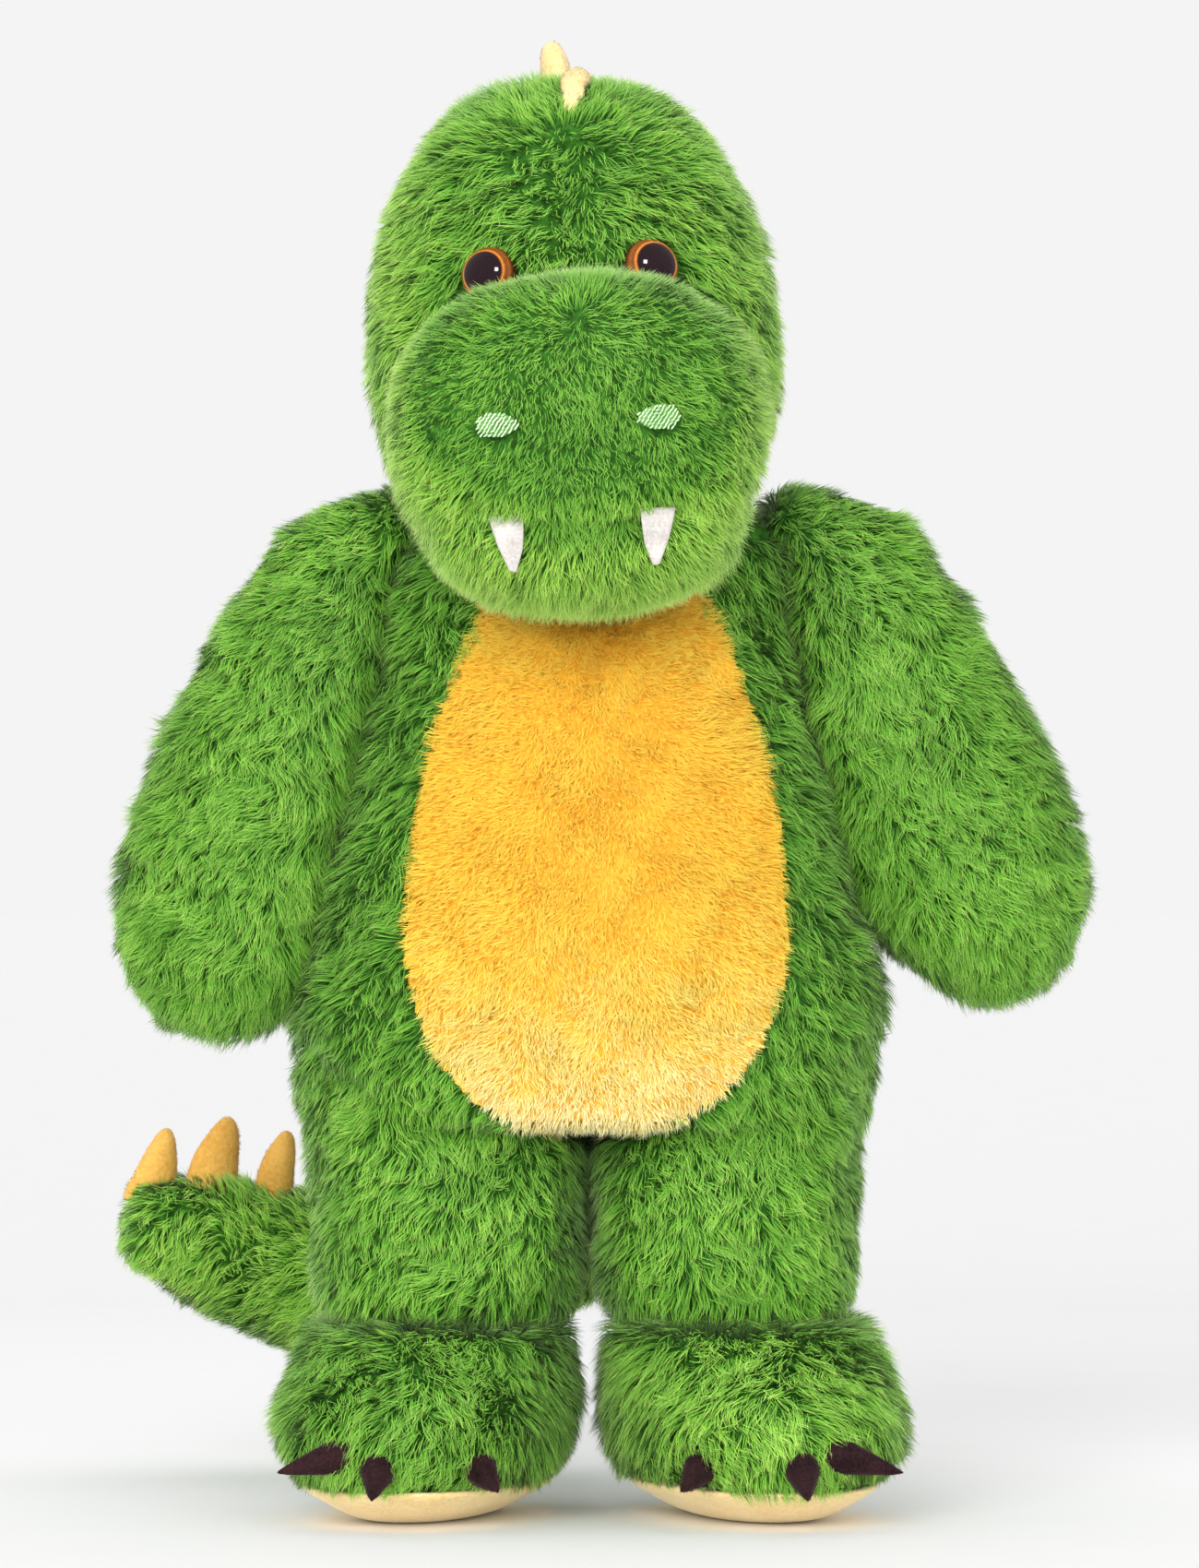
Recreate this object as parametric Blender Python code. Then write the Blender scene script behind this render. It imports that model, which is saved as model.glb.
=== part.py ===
"""A standing stuffed dinosaur: plush covers, stuffing, bean bags, safety eyes and felt trim.

Lengths in the tables are millimetres and become metres on the way into Blender. The toy faces -Y,
+Z is up and the soles stand on z = 0. As seen from the front +X is to the right, and so are the
nodes named right. Each cover is one thickness of plush: the knitted backing with its pile laid flat.
"""

import bpy
import bmesh
import math
from mathutils import Matrix, Vector

MM = 0.001
SIDES = 18
COVER = 4.0
GAP = 0.4
SPIKE_GAP = 0.9
ROUND = 2.0

# Where the toy's own centre line stands, so that the frame's origin is under the middle of its box.
FRAME_SHIFT = (-0.15, -17.13, 0.0)

# Sections are (height, half width, half depth, centre y).
TORSO_SECTIONS = [
    (88, 72, 48, 1),
    (97, 76, 52.5, 1),
    (110, 77.5, 54, 1),
    (125, 75.4, 54, 0),
    (140, 72, 53, -1),
    (160, 67.4, 51, -2),
    (185, 61.6, 48, -2),
    (210, 55.8, 45, -1),
    (230, 51.2, 41, 0),
    (246, 47.5, 36, 1),
    (255, 38, 31, 2),
]
TORSO_POWER = 2.3
HEAD_SECTIONS = [
    (258.5, 33, 32, 6),
    (264, 43, 42, 6),
    (275, 50.5, 49.5, 5),
    (290, 54, 53.5, 4),
    (305, 54.5, 54, 4),
    (320, 52.5, 52.5, 4),
    (335, 48.5, 48.5, 5),
    (348, 43, 43.5, 6),
    (358, 36.5, 37, 7),
    (366, 27, 27, 8),
    (370.5, 15, 15, 8),
]
HEAD_POWER = 2.1
NECK_PIVOT = (-1.5, 0, 257)
HEAD_ROLL = math.radians(-2.9)
HEAD_SHIFT = -2.0

# The muzzle and chin grow forwards. Sections are (y, share of the full width and height).
LIP_HEIGHT = 257.5
LIP_GAP = 1.2
MUZZLE_SIZE = (48, 38.5)
MUZZLE_CENTRE = 278.5
MUZZLE_SECTIONS = [
    (-18, 0.90),
    (-42, 0.96),
    (-66, 1.0),
    (-84, 0.97),
    (-96, 0.88),
    (-103, 0.72),
    (-107, 0.45),
]
CHIN_SIZE = (41, 28)
CHIN_CENTRE = 260
CHIN_SECTIONS = [
    (-46, 0.94),
    (-58, 0.99),
    (-68, 1.0),
    (-81, 0.97),
    (-91, 0.87),
    (-98, 0.70),
    (-101.5, 0.42),
]
THROAT = ((-20, -78, 248), (20, -56, 270))
MUZZLE_POWER = 2.4

EYE_CENTRE = (18.8, -43.5, 317.5)
EYE_AIM = (0.22, -0.95, 0.10)
EYE_RADIUS = 7.2
EYE_DOME = 4.6
EYE_RIM = 1.4
SHANK_RADIUS = 1.9
SHANK_LENGTH = 13
WASHER_RADIUS = 6.5
WASHER_THICKNESS = 1.6
NOSTRIL_CENTRE = (19.8, -106.8, 277.3)
NOSTRIL_SIZE = (5.1, 3.1, 0.8)
NOSTRIL_POWER = 1.8
TOOTH_CENTRE = (18.7, 256.5)
TOOTH_WIDTH = 9.0
TOOTH_LENGTH = 15.5
TOOTH_THICKNESS = 1.6

# Arms run down in the x-z plane. Sections are (x, z, half width, half depth) of the arm at -X.
ARM_SECTIONS = [
    (57, 261, 6, 8),
    (57.5, 254.5, 13.5, 14.5),
    (63, 243, 22, 20.5),
    (71.5, 222, 27.3, 24),
    (80, 200, 29.5, 25),
    (88.5, 178, 31.5, 25),
    (95, 157, 30.5, 24),
    (99, 142, 26.5, 21),
    (101, 131, 18, 14.5),
    (102, 124, 8.5, 7),
]
SHOULDER = (50, 0, 238)
SHOULDER_TILT = math.radians(13)
SHOULDER_CLEARANCE = 0.9
SHOULDER_HOLE = 15
ARM_SPREAD = {"left": 0.0, "right": math.radians(2.4)}
ARM_OUT = {"left": -1.5, "right": 1.5}
ARM_REACH = {"left": 1.0, "right": 0.94}

# Each leg ends in a drum about the hip axis, and the torso has a trough over both drums.
HIP = (37.3, -5, 92)
DRUM_RADIUS = 36.5
DRUM_ANGLES = (0, 20, 40, 58, 74)
TROUGH_CLEARANCE = 1.4
HIP_FORWARD = math.radians(35)
HIP_BACK = math.radians(5)
LEG_POWER = 2.6
LEG_HALF_WIDTH = 34.5
LEG_SECTIONS = [(52, 32, 35, -4), (58, 33.3, 37, -4), (68, 34.2, 38, -4.5), (80, 34.5, 37.8, -5)]

# Foot sections are (height, half width, half length, centre x, centre y) of the foot at -X.
TOE_OUT = math.radians(21)
FOOT_POWER = 2.2
FOOT_SECTIONS = [
    (11, 32, 44.5, 41.5, -12),
    (18, 34.5, 47.5, 41.5, -12),
    (28, 35.5, 47.5, 41.5, -11.5),
    (38, 34.5, 44.5, 40.5, -9.5),
    (46, 33, 39, 38.8, -6.5),
    (51.5, 32, 35.5, 37.5, -4.5),
]
SOLE_SECTIONS = [
    (0, 13, 24, 41.5, -6),
    (1.2, 16.5, 30, 41.5, -8),
    (4, 21.5, 36.5, 41.5, -10),
    (7.5, 27.5, 41.5, 41.5, -11.5),
    (10.6, 32, 44.5, 41.5, -12),
]
SOLE_THICKNESS = 2.4
BEAN_BAG_SECTIONS = [
    (3.2, 10, 20, 41.5, -7),
    (7, 17.5, 31, 41.5, -10),
    (13, 25, 36.5, 41.5, -12),
    (18, 22, 33, 41.5, -12),
    (20.5, 14, 23, 41.5, -12),
]
FOOT_STUFFING_FLOOR = 21.5
CLAW_RADIUS = 4.7
CLAW_ROOT = 4.5

# Claws are (place on the foot's rim, way it points, droop, height, length), in degrees outward from
# straight ahead, degrees down and millimetres: the inner one, the middle one and the outer one.
CLAWS = [
    (-19.5, -24, 22, 16, 13.5),
    (14.5, 5, 25, 16, 15),
    (28.5, 66, 12, 19, 16.5),
]

# Tail sections are (x, y, z, radius) from the ball at its root to the tip.
TAIL_PIVOT = (0, 60, 112)
TAIL_BALL = 26
TAIL_LIFT = math.radians(30)
TAIL_STEPS = 3
TAIL_CLEARANCE = 1.3
TAIL_PATH = [
    (0, 61, 111, 25.4),
    (-5, 80, 91, 28),
    (-16, 98, 72, 29.5),
    (-33, 110, 57, 29),
    (-52, 115, 50, 27),
    (-71, 114, 51, 24.5),
    (-88, 109, 56, 21.5),
    (-104, 102.5, 61.5, 18.5),
    (-116, 98, 66, 15),
    (-125, 94.5, 68.5, 10.5),
]

# The belly panel is an egg in the x-z plane.
BELLY_CENTRE = 1.6
BELLY_WIDEST = 150
BELLY_HALF_WIDTH = 47.5
BELLY_DROP = 53
BELLY_RISE = 112
BELLY_POWER = 1.75

# Spikes stand on the head and back at (x, y, z), and on the tail at a place counted along its path.
# Then come the half length, half thickness and height, and on the head and back how far the tip leans
# backwards and sideways.
HEAD_SPIKES = [
    (3, -14, 364, 8.5, 5.0, 7.5, 2, 2),
    (0, 12, 366, 10, 4.6, 15.5, 5, -2),
    (0, 36, 355, 11, 4.0, 17, 13, 2),
    (0, 53, 330, 11, 4.0, 13, 15, 0),
]
BACK_SPIKES = [
    (0, 33, 243, 11, 4.0, 9, 17, 0),
    (0, 40, 214, 12, 4.2, 5, 21, 1),
    (0, 44, 184, 13, 4.4, 4, 22, -1),
    (0, 49, 154, 12, 4.2, 4, 19, 0),
]
TAIL_SPIKES = [
    (2.0, 10, 4.2, 18),
    (4.1, 9, 4.2, 16),
    (6.3, 5.8, 3.8, 18),
    (7.4, 8, 4.2, 20),
    (8.6, 6, 3.8, 17),
]

PLUSH = ((0.115, 0.42, 0.05), 0.95)
BELLY = ((0.95, 0.46, 0.06), 0.95)
VELOUR = ((0.93, 0.66, 0.30), 0.9)
STUFFING = ((0.88, 0.88, 0.86), 1.0)
BEADS = ((0.80, 0.79, 0.74), 0.8)
FELT_WHITE = ((0.84, 0.80, 0.78), 0.95)
FELT_BLACK = ((0.022, 0.008, 0.009), 0.95)
THREAD = ((0.68, 0.90, 0.60), 0.6)
EYE_AMBER = ((0.05, 0.012, 0.012), 0.08)
NYLON = ((0.75, 0.75, 0.72), 0.5)


def clear_scene():
    for obj in list(bpy.data.objects):
        bpy.data.objects.remove(obj, do_unlink=True)


def material(name, finish):
    colour, roughness = finish
    made = bpy.data.materials.new(name)
    made.use_nodes = True
    shader = made.node_tree.nodes["Principled BSDF"]
    shader.inputs["Base Color"].default_value = (*colour, 1)
    shader.inputs["Roughness"].default_value = roughness
    shader.inputs["Metallic"].default_value = 0
    return made


def empty(name, at, parent=None, roll=0.0):
    """A joint's empty, placed in the toy's own frame. Every empty but the root hangs on the root."""
    made = bpy.data.objects.new(name, None)
    made.location = Vector(at) * MM
    made.rotation_euler = (0, roll, 0)
    made.parent = parent
    bpy.context.scene.collection.objects.link(made)
    return made


def link(mesh, name):
    made = bpy.data.objects.new(name, mesh)
    bpy.context.scene.collection.objects.link(made)
    return made


def ring(centre, across, up, half_across, half_up, power=ROUND, sides=SIDES):
    """Points of a superellipse around centre, in millimetres."""
    points = []
    for step in range(sides):
        angle = 2 * math.pi * step / sides
        c, s = math.cos(angle), math.sin(angle)
        u = math.copysign(abs(c) ** (2 / power), c) * half_across
        v = math.copysign(abs(s) ** (2 / power), s) * half_up
        points.append(Vector(centre) + Vector(across) * u + Vector(up) * v)
    return points


def skin_rings(rings, name="solid"):
    """One closed solid over a row of rings with the same number of points.

    Its sides are triangles, so that a larger copy used as a cutter follows it exactly.
    """
    shape = bmesh.new()
    rows = [[shape.verts.new(point * MM) for point in points] for points in rings]
    count = len(rows[0])
    for low, high in zip(rows, rows[1:]):
        for i in range(count):
            j = (i + 1) % count
            shape.faces.new((low[i], low[j], high[j]))
            shape.faces.new((low[i], high[j], high[i]))
    shape.faces.new(rows[0][::-1])
    shape.faces.new(rows[-1])
    bmesh.ops.recalc_face_normals(shape, faces=shape.faces)
    mesh = bpy.data.meshes.new(name)
    shape.to_mesh(mesh)
    shape.free()
    return link(mesh, name)


def box(low, high):
    shape = bmesh.new()
    bmesh.ops.create_cube(shape, size=1)
    size = Vector(high) - Vector(low)
    middle = (Vector(high) + Vector(low)) / 2
    bmesh.ops.scale(shape, vec=size * MM, verts=shape.verts)
    bmesh.ops.translate(shape, vec=middle * MM, verts=shape.verts)
    mesh = bpy.data.meshes.new("box")
    shape.to_mesh(mesh)
    shape.free()
    return link(mesh, "box")


def along(axis):
    """Rotation that takes +Z to axis and keeps +X level."""
    forward = Vector(axis).normalized()
    level = Vector((0, 0, 1)).cross(forward)
    level = level.normalized() if level.length > 1e-6 else Vector((1, 0, 0))
    return Matrix((level, forward.cross(level), forward)).transposed().to_4x4()


def turned(profile, at, axis, sides=SIDES):
    """A solid of revolution about axis through at. The profile is (distance along the axis, radius)."""
    turn = along(axis)
    across = turn @ Vector((1, 0, 0))
    up = turn @ Vector((0, 1, 0))
    forward = turn @ Vector((0, 0, 1))
    rings = [ring(Vector(at) + forward * way, across, up, r, r, sides=sides) for way, r in profile]
    return skin_rings(rings)


def combine(target, tools, operation):
    """Joins the tools to the target or cuts them from it, applies that, and removes the tools."""
    for tool in tools:
        step = target.modifiers.new(operation.lower(), "BOOLEAN")
        step.operation = operation
        step.object = tool
    bpy.context.view_layer.update()
    graph = bpy.context.evaluated_depsgraph_get()
    mesh = bpy.data.meshes.new_from_object(target.evaluated_get(graph))
    target.modifiers.clear()
    target.data = mesh
    for tool in tools:
        bpy.data.objects.remove(tool, do_unlink=True)
    return target


def cut(target, *tools):
    return combine(target, tools, "DIFFERENCE")


def join(target, *tools):
    return combine(target, tools, "UNION")


def keep(target, tool):
    return combine(target, (tool,), "INTERSECT")


def finish(solid, name, finish_values, joint):
    """Names a solid, gives it its material and hangs it on its joint, with its origin on the joint."""
    solid.name = name
    solid.data.name = name
    solid.data.materials.clear()
    solid.data.materials.append(material(name, finish_values))
    solid.data.transform(Matrix.Translation(-joint.location))
    solid.parent = joint
    solid.data.shade_smooth()
    solid.data.set_sharp_from_angle(angle=math.radians(40))
    return solid


def levels(sections, inset, top=None, bottom=None):
    """Each section's place once both ends are taken in by inset, or put at top and bottom if given."""
    low, high = sections[0][0], sections[-1][0]
    new_low = low + inset if bottom is None else low
    new_high = high - inset if top is None else high
    scale = (new_high - new_low) / (high - low)
    places = [new_low + (section[0] - low) * scale for section in sections]
    if bottom is not None:
        places[0] = bottom
    if top is not None:
        places[-1] = top
    return places


def upright(sections, inset, power, x=0.0, top=None, bottom=None):
    """A solid over level sections, taken in by inset, with its ends at top and bottom if given."""
    rings = []
    for z, (_, width, depth, y) in zip(levels(sections, inset, top, bottom), sections):
        rings.append(ring((x, y, z), (1, 0, 0), (0, 1, 0), width - inset, depth - inset, power))
    return skin_rings(rings)


def hip_space(spare):
    """The trough over the leg drums, and the space that the legs sweep at each end of their range."""
    _, y, z = HIP
    radius = DRUM_RADIUS + TROUGH_CLEARANCE + spare
    reach = 90
    trough = turned([(-reach, radius), (reach, radius)], (0, y, z), (1, 0, 0), sides=28)
    sweeps = []
    for number, swing in enumerate((HIP_FORWARD, -HIP_BACK), 1):
        wide = reach + number
        sweep = box((-wide, -radius - 1, -reach), (wide, radius + 1, -0.5))
        turn = Matrix.Rotation(-swing, 4, "X")
        sweep.data.transform(Matrix.Translation(Vector((0, y, z)) * MM) @ turn)
        sweeps.append(sweep)
    return join(trough, *sweeps)


def tail_space(spare):
    """Tools for the tail ball's socket and for the space that the tail's root sweeps as it lifts."""
    pivot = Matrix.Translation(Vector(TAIL_PIVOT) * MM)
    tools = [tail_ball(-spare - TAIL_CLEARANCE)]
    for number in range(TAIL_STEPS + 1):
        root = tail_body(-spare - TAIL_CLEARANCE - 0.03 * number)
        turn = Matrix.Rotation(TAIL_LIFT * number / TAIL_STEPS, 4, "X")
        root.data.transform(pivot @ turn @ pivot.inverted())
        tools.append(root)
    return tools


def torso_volume(inset, top=None):
    solid = upright(TORSO_SECTIONS, inset, TORSO_POWER, top=top)
    return cut(solid, hip_space(inset), *tail_space(inset))


def belly_prism(spare):
    """The belly panel's outline, drawn out from in front of the toy to its middle."""
    outline = []
    steps = 28
    for step in range(steps):
        angle = 2 * math.pi * step / steps
        c, s = math.cos(angle), math.sin(angle)
        tall = BELLY_RISE if s > 0 else BELLY_DROP
        power = BELLY_POWER if s > 0 else ROUND
        x = BELLY_CENTRE + math.copysign(abs(c) ** (2 / power), c) * (BELLY_HALF_WIDTH + spare)
        z = BELLY_WIDEST + math.copysign(abs(s) ** (2 / power), s) * (tall + spare)
        outline.append((x, z))
    return skin_rings([[Vector((x, y, z)) for x, z in outline] for y in (-80, -8)])


def spike(foot, tip, run, half_length, half_thickness, cover, name, joint):
    """A stuffed triangle of velour whose length runs along the crest, its foot shaped to its cover."""
    root = foot - (tip - foot) * 0.45
    aim = (tip - root).normalized()
    across = aim.cross(run).normalized()
    length = across.cross(aim)
    shape = [(0.0, 1.0), (0.31, 1.0), (0.55, 0.78), (0.78, 0.5), (0.93, 0.27), (1.0, 0.1)]
    rings = []
    for way, share in shape:
        sizes = (half_thickness * share**0.6, half_length * share)
        rings.append(ring(root.lerp(tip, way), across, length, *sizes, sides=12))
    return finish(cut(skin_rings(rings), cover), name, VELOUR, joint)


def crest_spike(values, cover, name, joint):
    """A spike of the head or back, where the crest runs in the y-z plane."""
    x, y, z, half_length, half_thickness, rise, back, side = values
    foot = Vector((x, y, z))
    tip = foot + Vector((side, back, rise))
    return spike(foot, tip, Vector((0, rise, -back)), half_length, half_thickness, cover, name, joint)


def make_torso(joint):
    cover = cut(torso_volume(0), torso_volume(COVER, top=TORSO_SECTIONS[-1][0] + 3))
    panel = keep(link(cover.data.copy(), "belly"), belly_prism(0))
    holes = []
    for side in (-1, 1):
        x, y, z = SHOULDER
        holes.append(turned([(-12, SHOULDER_HOLE), (12, SHOULDER_HOLE)], (side * x, y, z), (1, 0, 0)))
    cut(cover, belly_prism(GAP), *holes)
    finish(cover, "body_cover", PLUSH, joint)
    finish(panel, "belly_panel", BELLY, joint)
    stuffing = torso_volume(COVER + GAP, top=TORSO_SECTIONS[-1][0] - GAP)
    finish(stuffing, "body_stuffing", STUFFING, joint)
    for number, values in enumerate(BACK_SPIKES, 1):
        crest_spike(values, torso_volume(-SPIKE_GAP), f"back_spike_{number}", joint)


def forward_volume(sections, size, centre, inset):
    """A muzzle or chin: sections set one behind another along Y, rounded off at the front."""
    rings = []
    for y, (_, share) in zip(levels(sections, -inset), sections):
        half_width = size[0] * share - inset
        half_height = size[1] * share - inset
        rings.append(ring((0, y, centre), (1, 0, 0), (0, 0, 1), half_width, half_height, MUZZLE_POWER))
    return skin_rings(rings)


def muzzle_volume(inset):
    solid = forward_volume(MUZZLE_SECTIONS, MUZZLE_SIZE, MUZZLE_CENTRE, inset)
    return cut(solid, box((-80, -150, 200), (80, 20, LIP_HEIGHT + LIP_GAP / 2 + inset)))


def chin_volume(inset):
    solid = forward_volume(CHIN_SECTIONS, CHIN_SIZE, CHIN_CENTRE, inset)
    return cut(solid, box((-80, -150, LIP_HEIGHT - LIP_GAP / 2 - inset), (80, 20, 320)))


def head_volume(inset, bottom=None):
    return upright(HEAD_SECTIONS, inset, HEAD_POWER, bottom=bottom)


def throat(inset):
    """The way down from the muzzle into the chin, behind the lip seam."""
    low, high = THROAT
    narrower = Vector((inset, inset, 0))
    return box(Vector(low) + narrower, Vector(high) - narrower)


def head_filling(inset, bottom):
    """The inside of the head: skull, muzzle and chin as one space."""
    solid = head_volume(inset, bottom)
    return join(solid, muzzle_volume(inset), throat(inset - COVER), chin_volume(inset))


def eye_frame(side):
    """The eye's place and the way it looks, on the side given as -1 or 1."""
    x, y, z = EYE_CENTRE
    ax, ay, az = EYE_AIM
    return Vector((side * x, y, z)), Vector((side * ax, ay, az)).normalized()


def make_eye(side, name, joint):
    at, aim = eye_frame(side)
    profile = [(-SHANK_LENGTH, SHANK_RADIUS * 0.6), (-SHANK_LENGTH + 1, SHANK_RADIUS)]
    profile.append((0, SHANK_RADIUS))
    profile += [(0, EYE_RADIUS - 0.2), (EYE_RIM, EYE_RADIUS)]
    for degrees in (20, 40, 60, 78):
        angle = math.radians(degrees)
        profile.append((EYE_RIM + EYE_DOME * math.sin(angle), EYE_RADIUS * math.cos(angle)))
    finish(turned(profile, at, aim, sides=16), f"eye_{name}", EYE_AMBER, joint)
    washer_at = -SHANK_LENGTH + 4
    washer_end = washer_at + WASHER_THICKNESS
    washer = turned([(washer_at, WASHER_RADIUS), (washer_end, WASHER_RADIUS)], at, aim)
    bore = turned([(-SHANK_LENGTH, SHANK_RADIUS + 0.2), (0, SHANK_RADIUS + 0.2)], at, aim)
    finish(cut(washer, bore), f"eye_washer_{name}", NYLON, joint)


def eye_seats():
    """What the eyes need cut from the head cover."""
    tools = []
    for side in (-1, 1):
        at, aim = eye_frame(side)
        seat = [(-12, SHANK_RADIUS + 0.4), (-0.5, SHANK_RADIUS + 0.4), (-0.5, EYE_RADIUS + 0.6)]
        tools.append(turned(seat + [(14, EYE_RADIUS + 0.6)], at, aim))
    return tools


def washer_pockets():
    """What the eyes' shanks and washers need cut from the stuffing."""
    tools = []
    for side in (-1, 1):
        at, aim = eye_frame(side)
        radius = WASHER_RADIUS + 0.8
        tools.append(turned([(-SHANK_LENGTH - 1, radius), (4, radius)], at, aim))
    return tools


def make_nostril(side, name, joint):
    x, y, z = NOSTRIL_CENTRE
    half_width, half_height, thickness = NOSTRIL_SIZE
    rings = []
    for way, share in ((-thickness, 0.9), (0, 1.0), (thickness, 0.8)):
        sizes = (half_width * share, half_height * share)
        rings.append(ring((side * x, y - way, z), (1, 0, 0), (0, 0, 1), *sizes, NOSTRIL_POWER, 14))
    return finish(skin_rings(rings), f"nostril_{name}", THREAD, joint)


def nostril_seats():
    tools = []
    for side in (-1, 1):
        x, y, z = NOSTRIL_CENTRE
        half_width, half_height, thickness = NOSTRIL_SIZE
        sizes = (half_width + GAP, half_height + GAP)
        rings = []
        for depth in (y + thickness + GAP, y - 10):
            rings.append(ring((side * x, depth, z), (1, 0, 0), (0, 0, 1), *sizes, NOSTRIL_POWER, 14))
        tools.append(skin_rings(rings))
    return tools


def make_tooth(side, name, joint):
    """A felt triangle hanging from the lip seam, its inner edge steep, following the front of the chin."""
    x, top = TOOTH_CENTRE
    half = TOOTH_WIDTH / 2
    low = top - TOOTH_LENGTH
    outline = [(-half, top - 1), (half, top - 1), (half * 0.55, low + 7), (-half * 0.05, low + 0.6)]
    outline += [(-half * 0.42, low + 0.2), (-half * 0.85, low + 6)]
    slab = skin_rings([[Vector((side * (x + u), y, z)) for u, z in outline] for y in (-125, -70)])
    keep(slab, chin_volume(-GAP - TOOTH_THICKNESS))
    cut(slab, chin_volume(-GAP))
    return finish(slab, f"tooth_{name}", FELT_WHITE, joint)


def make_head(joint):
    floor = HEAD_SECTIONS[0][0]
    cover = cut(head_volume(0), head_filling(COVER, floor - 3), *eye_seats())
    finish(cover, "head_cover", PLUSH, joint)
    muzzle = cut(muzzle_volume(0), head_volume(-GAP), muzzle_volume(COVER), throat(0))
    cut(muzzle, *nostril_seats(), *eye_seats())
    finish(muzzle, "muzzle_cover", PLUSH, joint)
    chin = cut(chin_volume(0), chin_volume(COVER), throat(0))
    finish(chin, "chin_cover", PLUSH, joint)
    stuffing = cut(head_filling(COVER + GAP, floor + GAP), *washer_pockets())
    finish(stuffing, "head_stuffing", STUFFING, joint)
    for side, name in ((-1, "left"), (1, "right")):
        make_eye(side, name, joint)
        make_nostril(side, name, joint)
        make_tooth(side, name, joint)
    for number, values in enumerate(HEAD_SPIKES, 1):
        crest_spike(values, head_volume(-SPIKE_GAP), f"head_spike_{number}", joint)


def arm_volume(side, name, inset):
    """One arm, flat on the side that lies against the torso, and inset there too."""
    rings = []
    pivot = Vector((side * SHOULDER[0], 0, SHOULDER[2]))
    turn = Matrix.Rotation(-side * ARM_SPREAD[name], 3, "Y")
    count = len(ARM_SECTIONS)
    for number, (x, z, half_width, half_depth) in enumerate(ARM_SECTIONS):
        before = ARM_SECTIONS[max(number - 1, 0)]
        after = ARM_SECTIONS[min(number + 1, count - 1)]
        along_arm = Vector((side * (after[0] - before[0]), 0, after[1] - before[1])).normalized()
        across = Vector((along_arm.z, 0, -along_arm.x))
        centre = Vector((side * (x + ARM_OUT[name]), 0, pivot.z + (z - pivot.z) * ARM_REACH[name]))
        if number in (0, count - 1):
            centre += along_arm * inset * (1 if number == 0 else -1)
        centre = pivot + turn @ (centre - pivot)
        across = turn @ across
        rings.append(ring(centre, across, (0, 1, 0), half_width - inset, half_depth - inset))
    solid = skin_rings(rings)
    edges = sorted((side * (SHOULDER_CLEARANCE + inset), -90 * side))
    flat = box((edges[0], -90, -160), (edges[1], 90, 90))
    tilt = Matrix.Rotation(-side * SHOULDER_TILT, 4, "Y")
    flat.data.transform(Matrix.Translation(pivot * MM) @ tilt)
    return cut(solid, flat)


def make_arm(side, name, joint):
    cover = cut(arm_volume(side, name, 0), arm_volume(side, name, COVER))
    x, y, z = SHOULDER
    mouth = turned([(-14, SHOULDER_HOLE), (14, SHOULDER_HOLE)], (side * (x + 2), y, z), (1, 0, 0))
    finish(cut(cover, mouth), f"arm_cover_{name}", PLUSH, joint)
    stuffing = arm_volume(side, name, COVER + GAP)
    finish(stuffing, f"arm_stuffing_{name}", STUFFING, joint)


def leg_volume(side, inset, bottom=None):
    """A leg, its last sections following the drum about the hip axis."""
    _, y, z = HIP
    radius = DRUM_RADIUS - inset
    sections = list(LEG_SECTIONS)
    for degrees in DRUM_ANGLES:
        angle = math.radians(degrees)
        depth = radius * math.cos(angle) + inset
        sections.append((z + radius * math.sin(angle), LEG_HALF_WIDTH, depth, y))
    return upright(sections, inset, LEG_POWER, x=side * HIP[0], top=sections[-1][0], bottom=bottom)


def foot_volume(sections, side, inset, top=None, bottom=None):
    """A solid over level sections turned toe out about each section's centre."""
    across = Vector((math.cos(TOE_OUT), side * math.sin(TOE_OUT), 0))
    length = Vector((-side * math.sin(TOE_OUT), math.cos(TOE_OUT), 0))
    rings = []
    for z, (_, half_width, half_length, x, y) in zip(levels(sections, inset, top, bottom), sections):
        half_sizes = (half_width - inset, half_length - inset)
        rings.append(ring((side * x, y, z), across, length, *half_sizes, FOOT_POWER))
    return skin_rings(rings)


def make_claw(side, number, values, name, joint):
    """A felt cone whose root is in the foot's rim."""
    place, point, droop = (math.radians(degrees) for degrees in values[:3])
    height, length = values[3:]
    _, half_width, half_length, x, y = FOOT_SECTIONS[1]
    local = place - TOE_OUT
    reach = 1 / math.hypot(math.sin(local) / half_width, math.cos(local) / half_length)
    rim = Vector((side * x, y, height)) + Vector((side * math.sin(place), -math.cos(place), 0)) * reach
    aim = Vector((side * math.sin(point), -math.cos(point), 0)) * math.cos(droop)
    aim.z = -math.sin(droop)
    profile = [(-CLAW_ROOT, CLAW_RADIUS)]
    for share, narrowing in ((0.08, 0.92), (0.46, 0.6), (0.8, 0.3), (1, 0.08)):
        profile.append((length * share, CLAW_RADIUS * narrowing))
    cone = turned(profile, rim, aim, sides=12)
    cut(cone, foot_volume(FOOT_SECTIONS, side, -GAP), foot_volume(SOLE_SECTIONS, side, -GAP))
    return finish(cone, f"claw_{name}_{number}", FELT_BLACK, joint)


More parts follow.
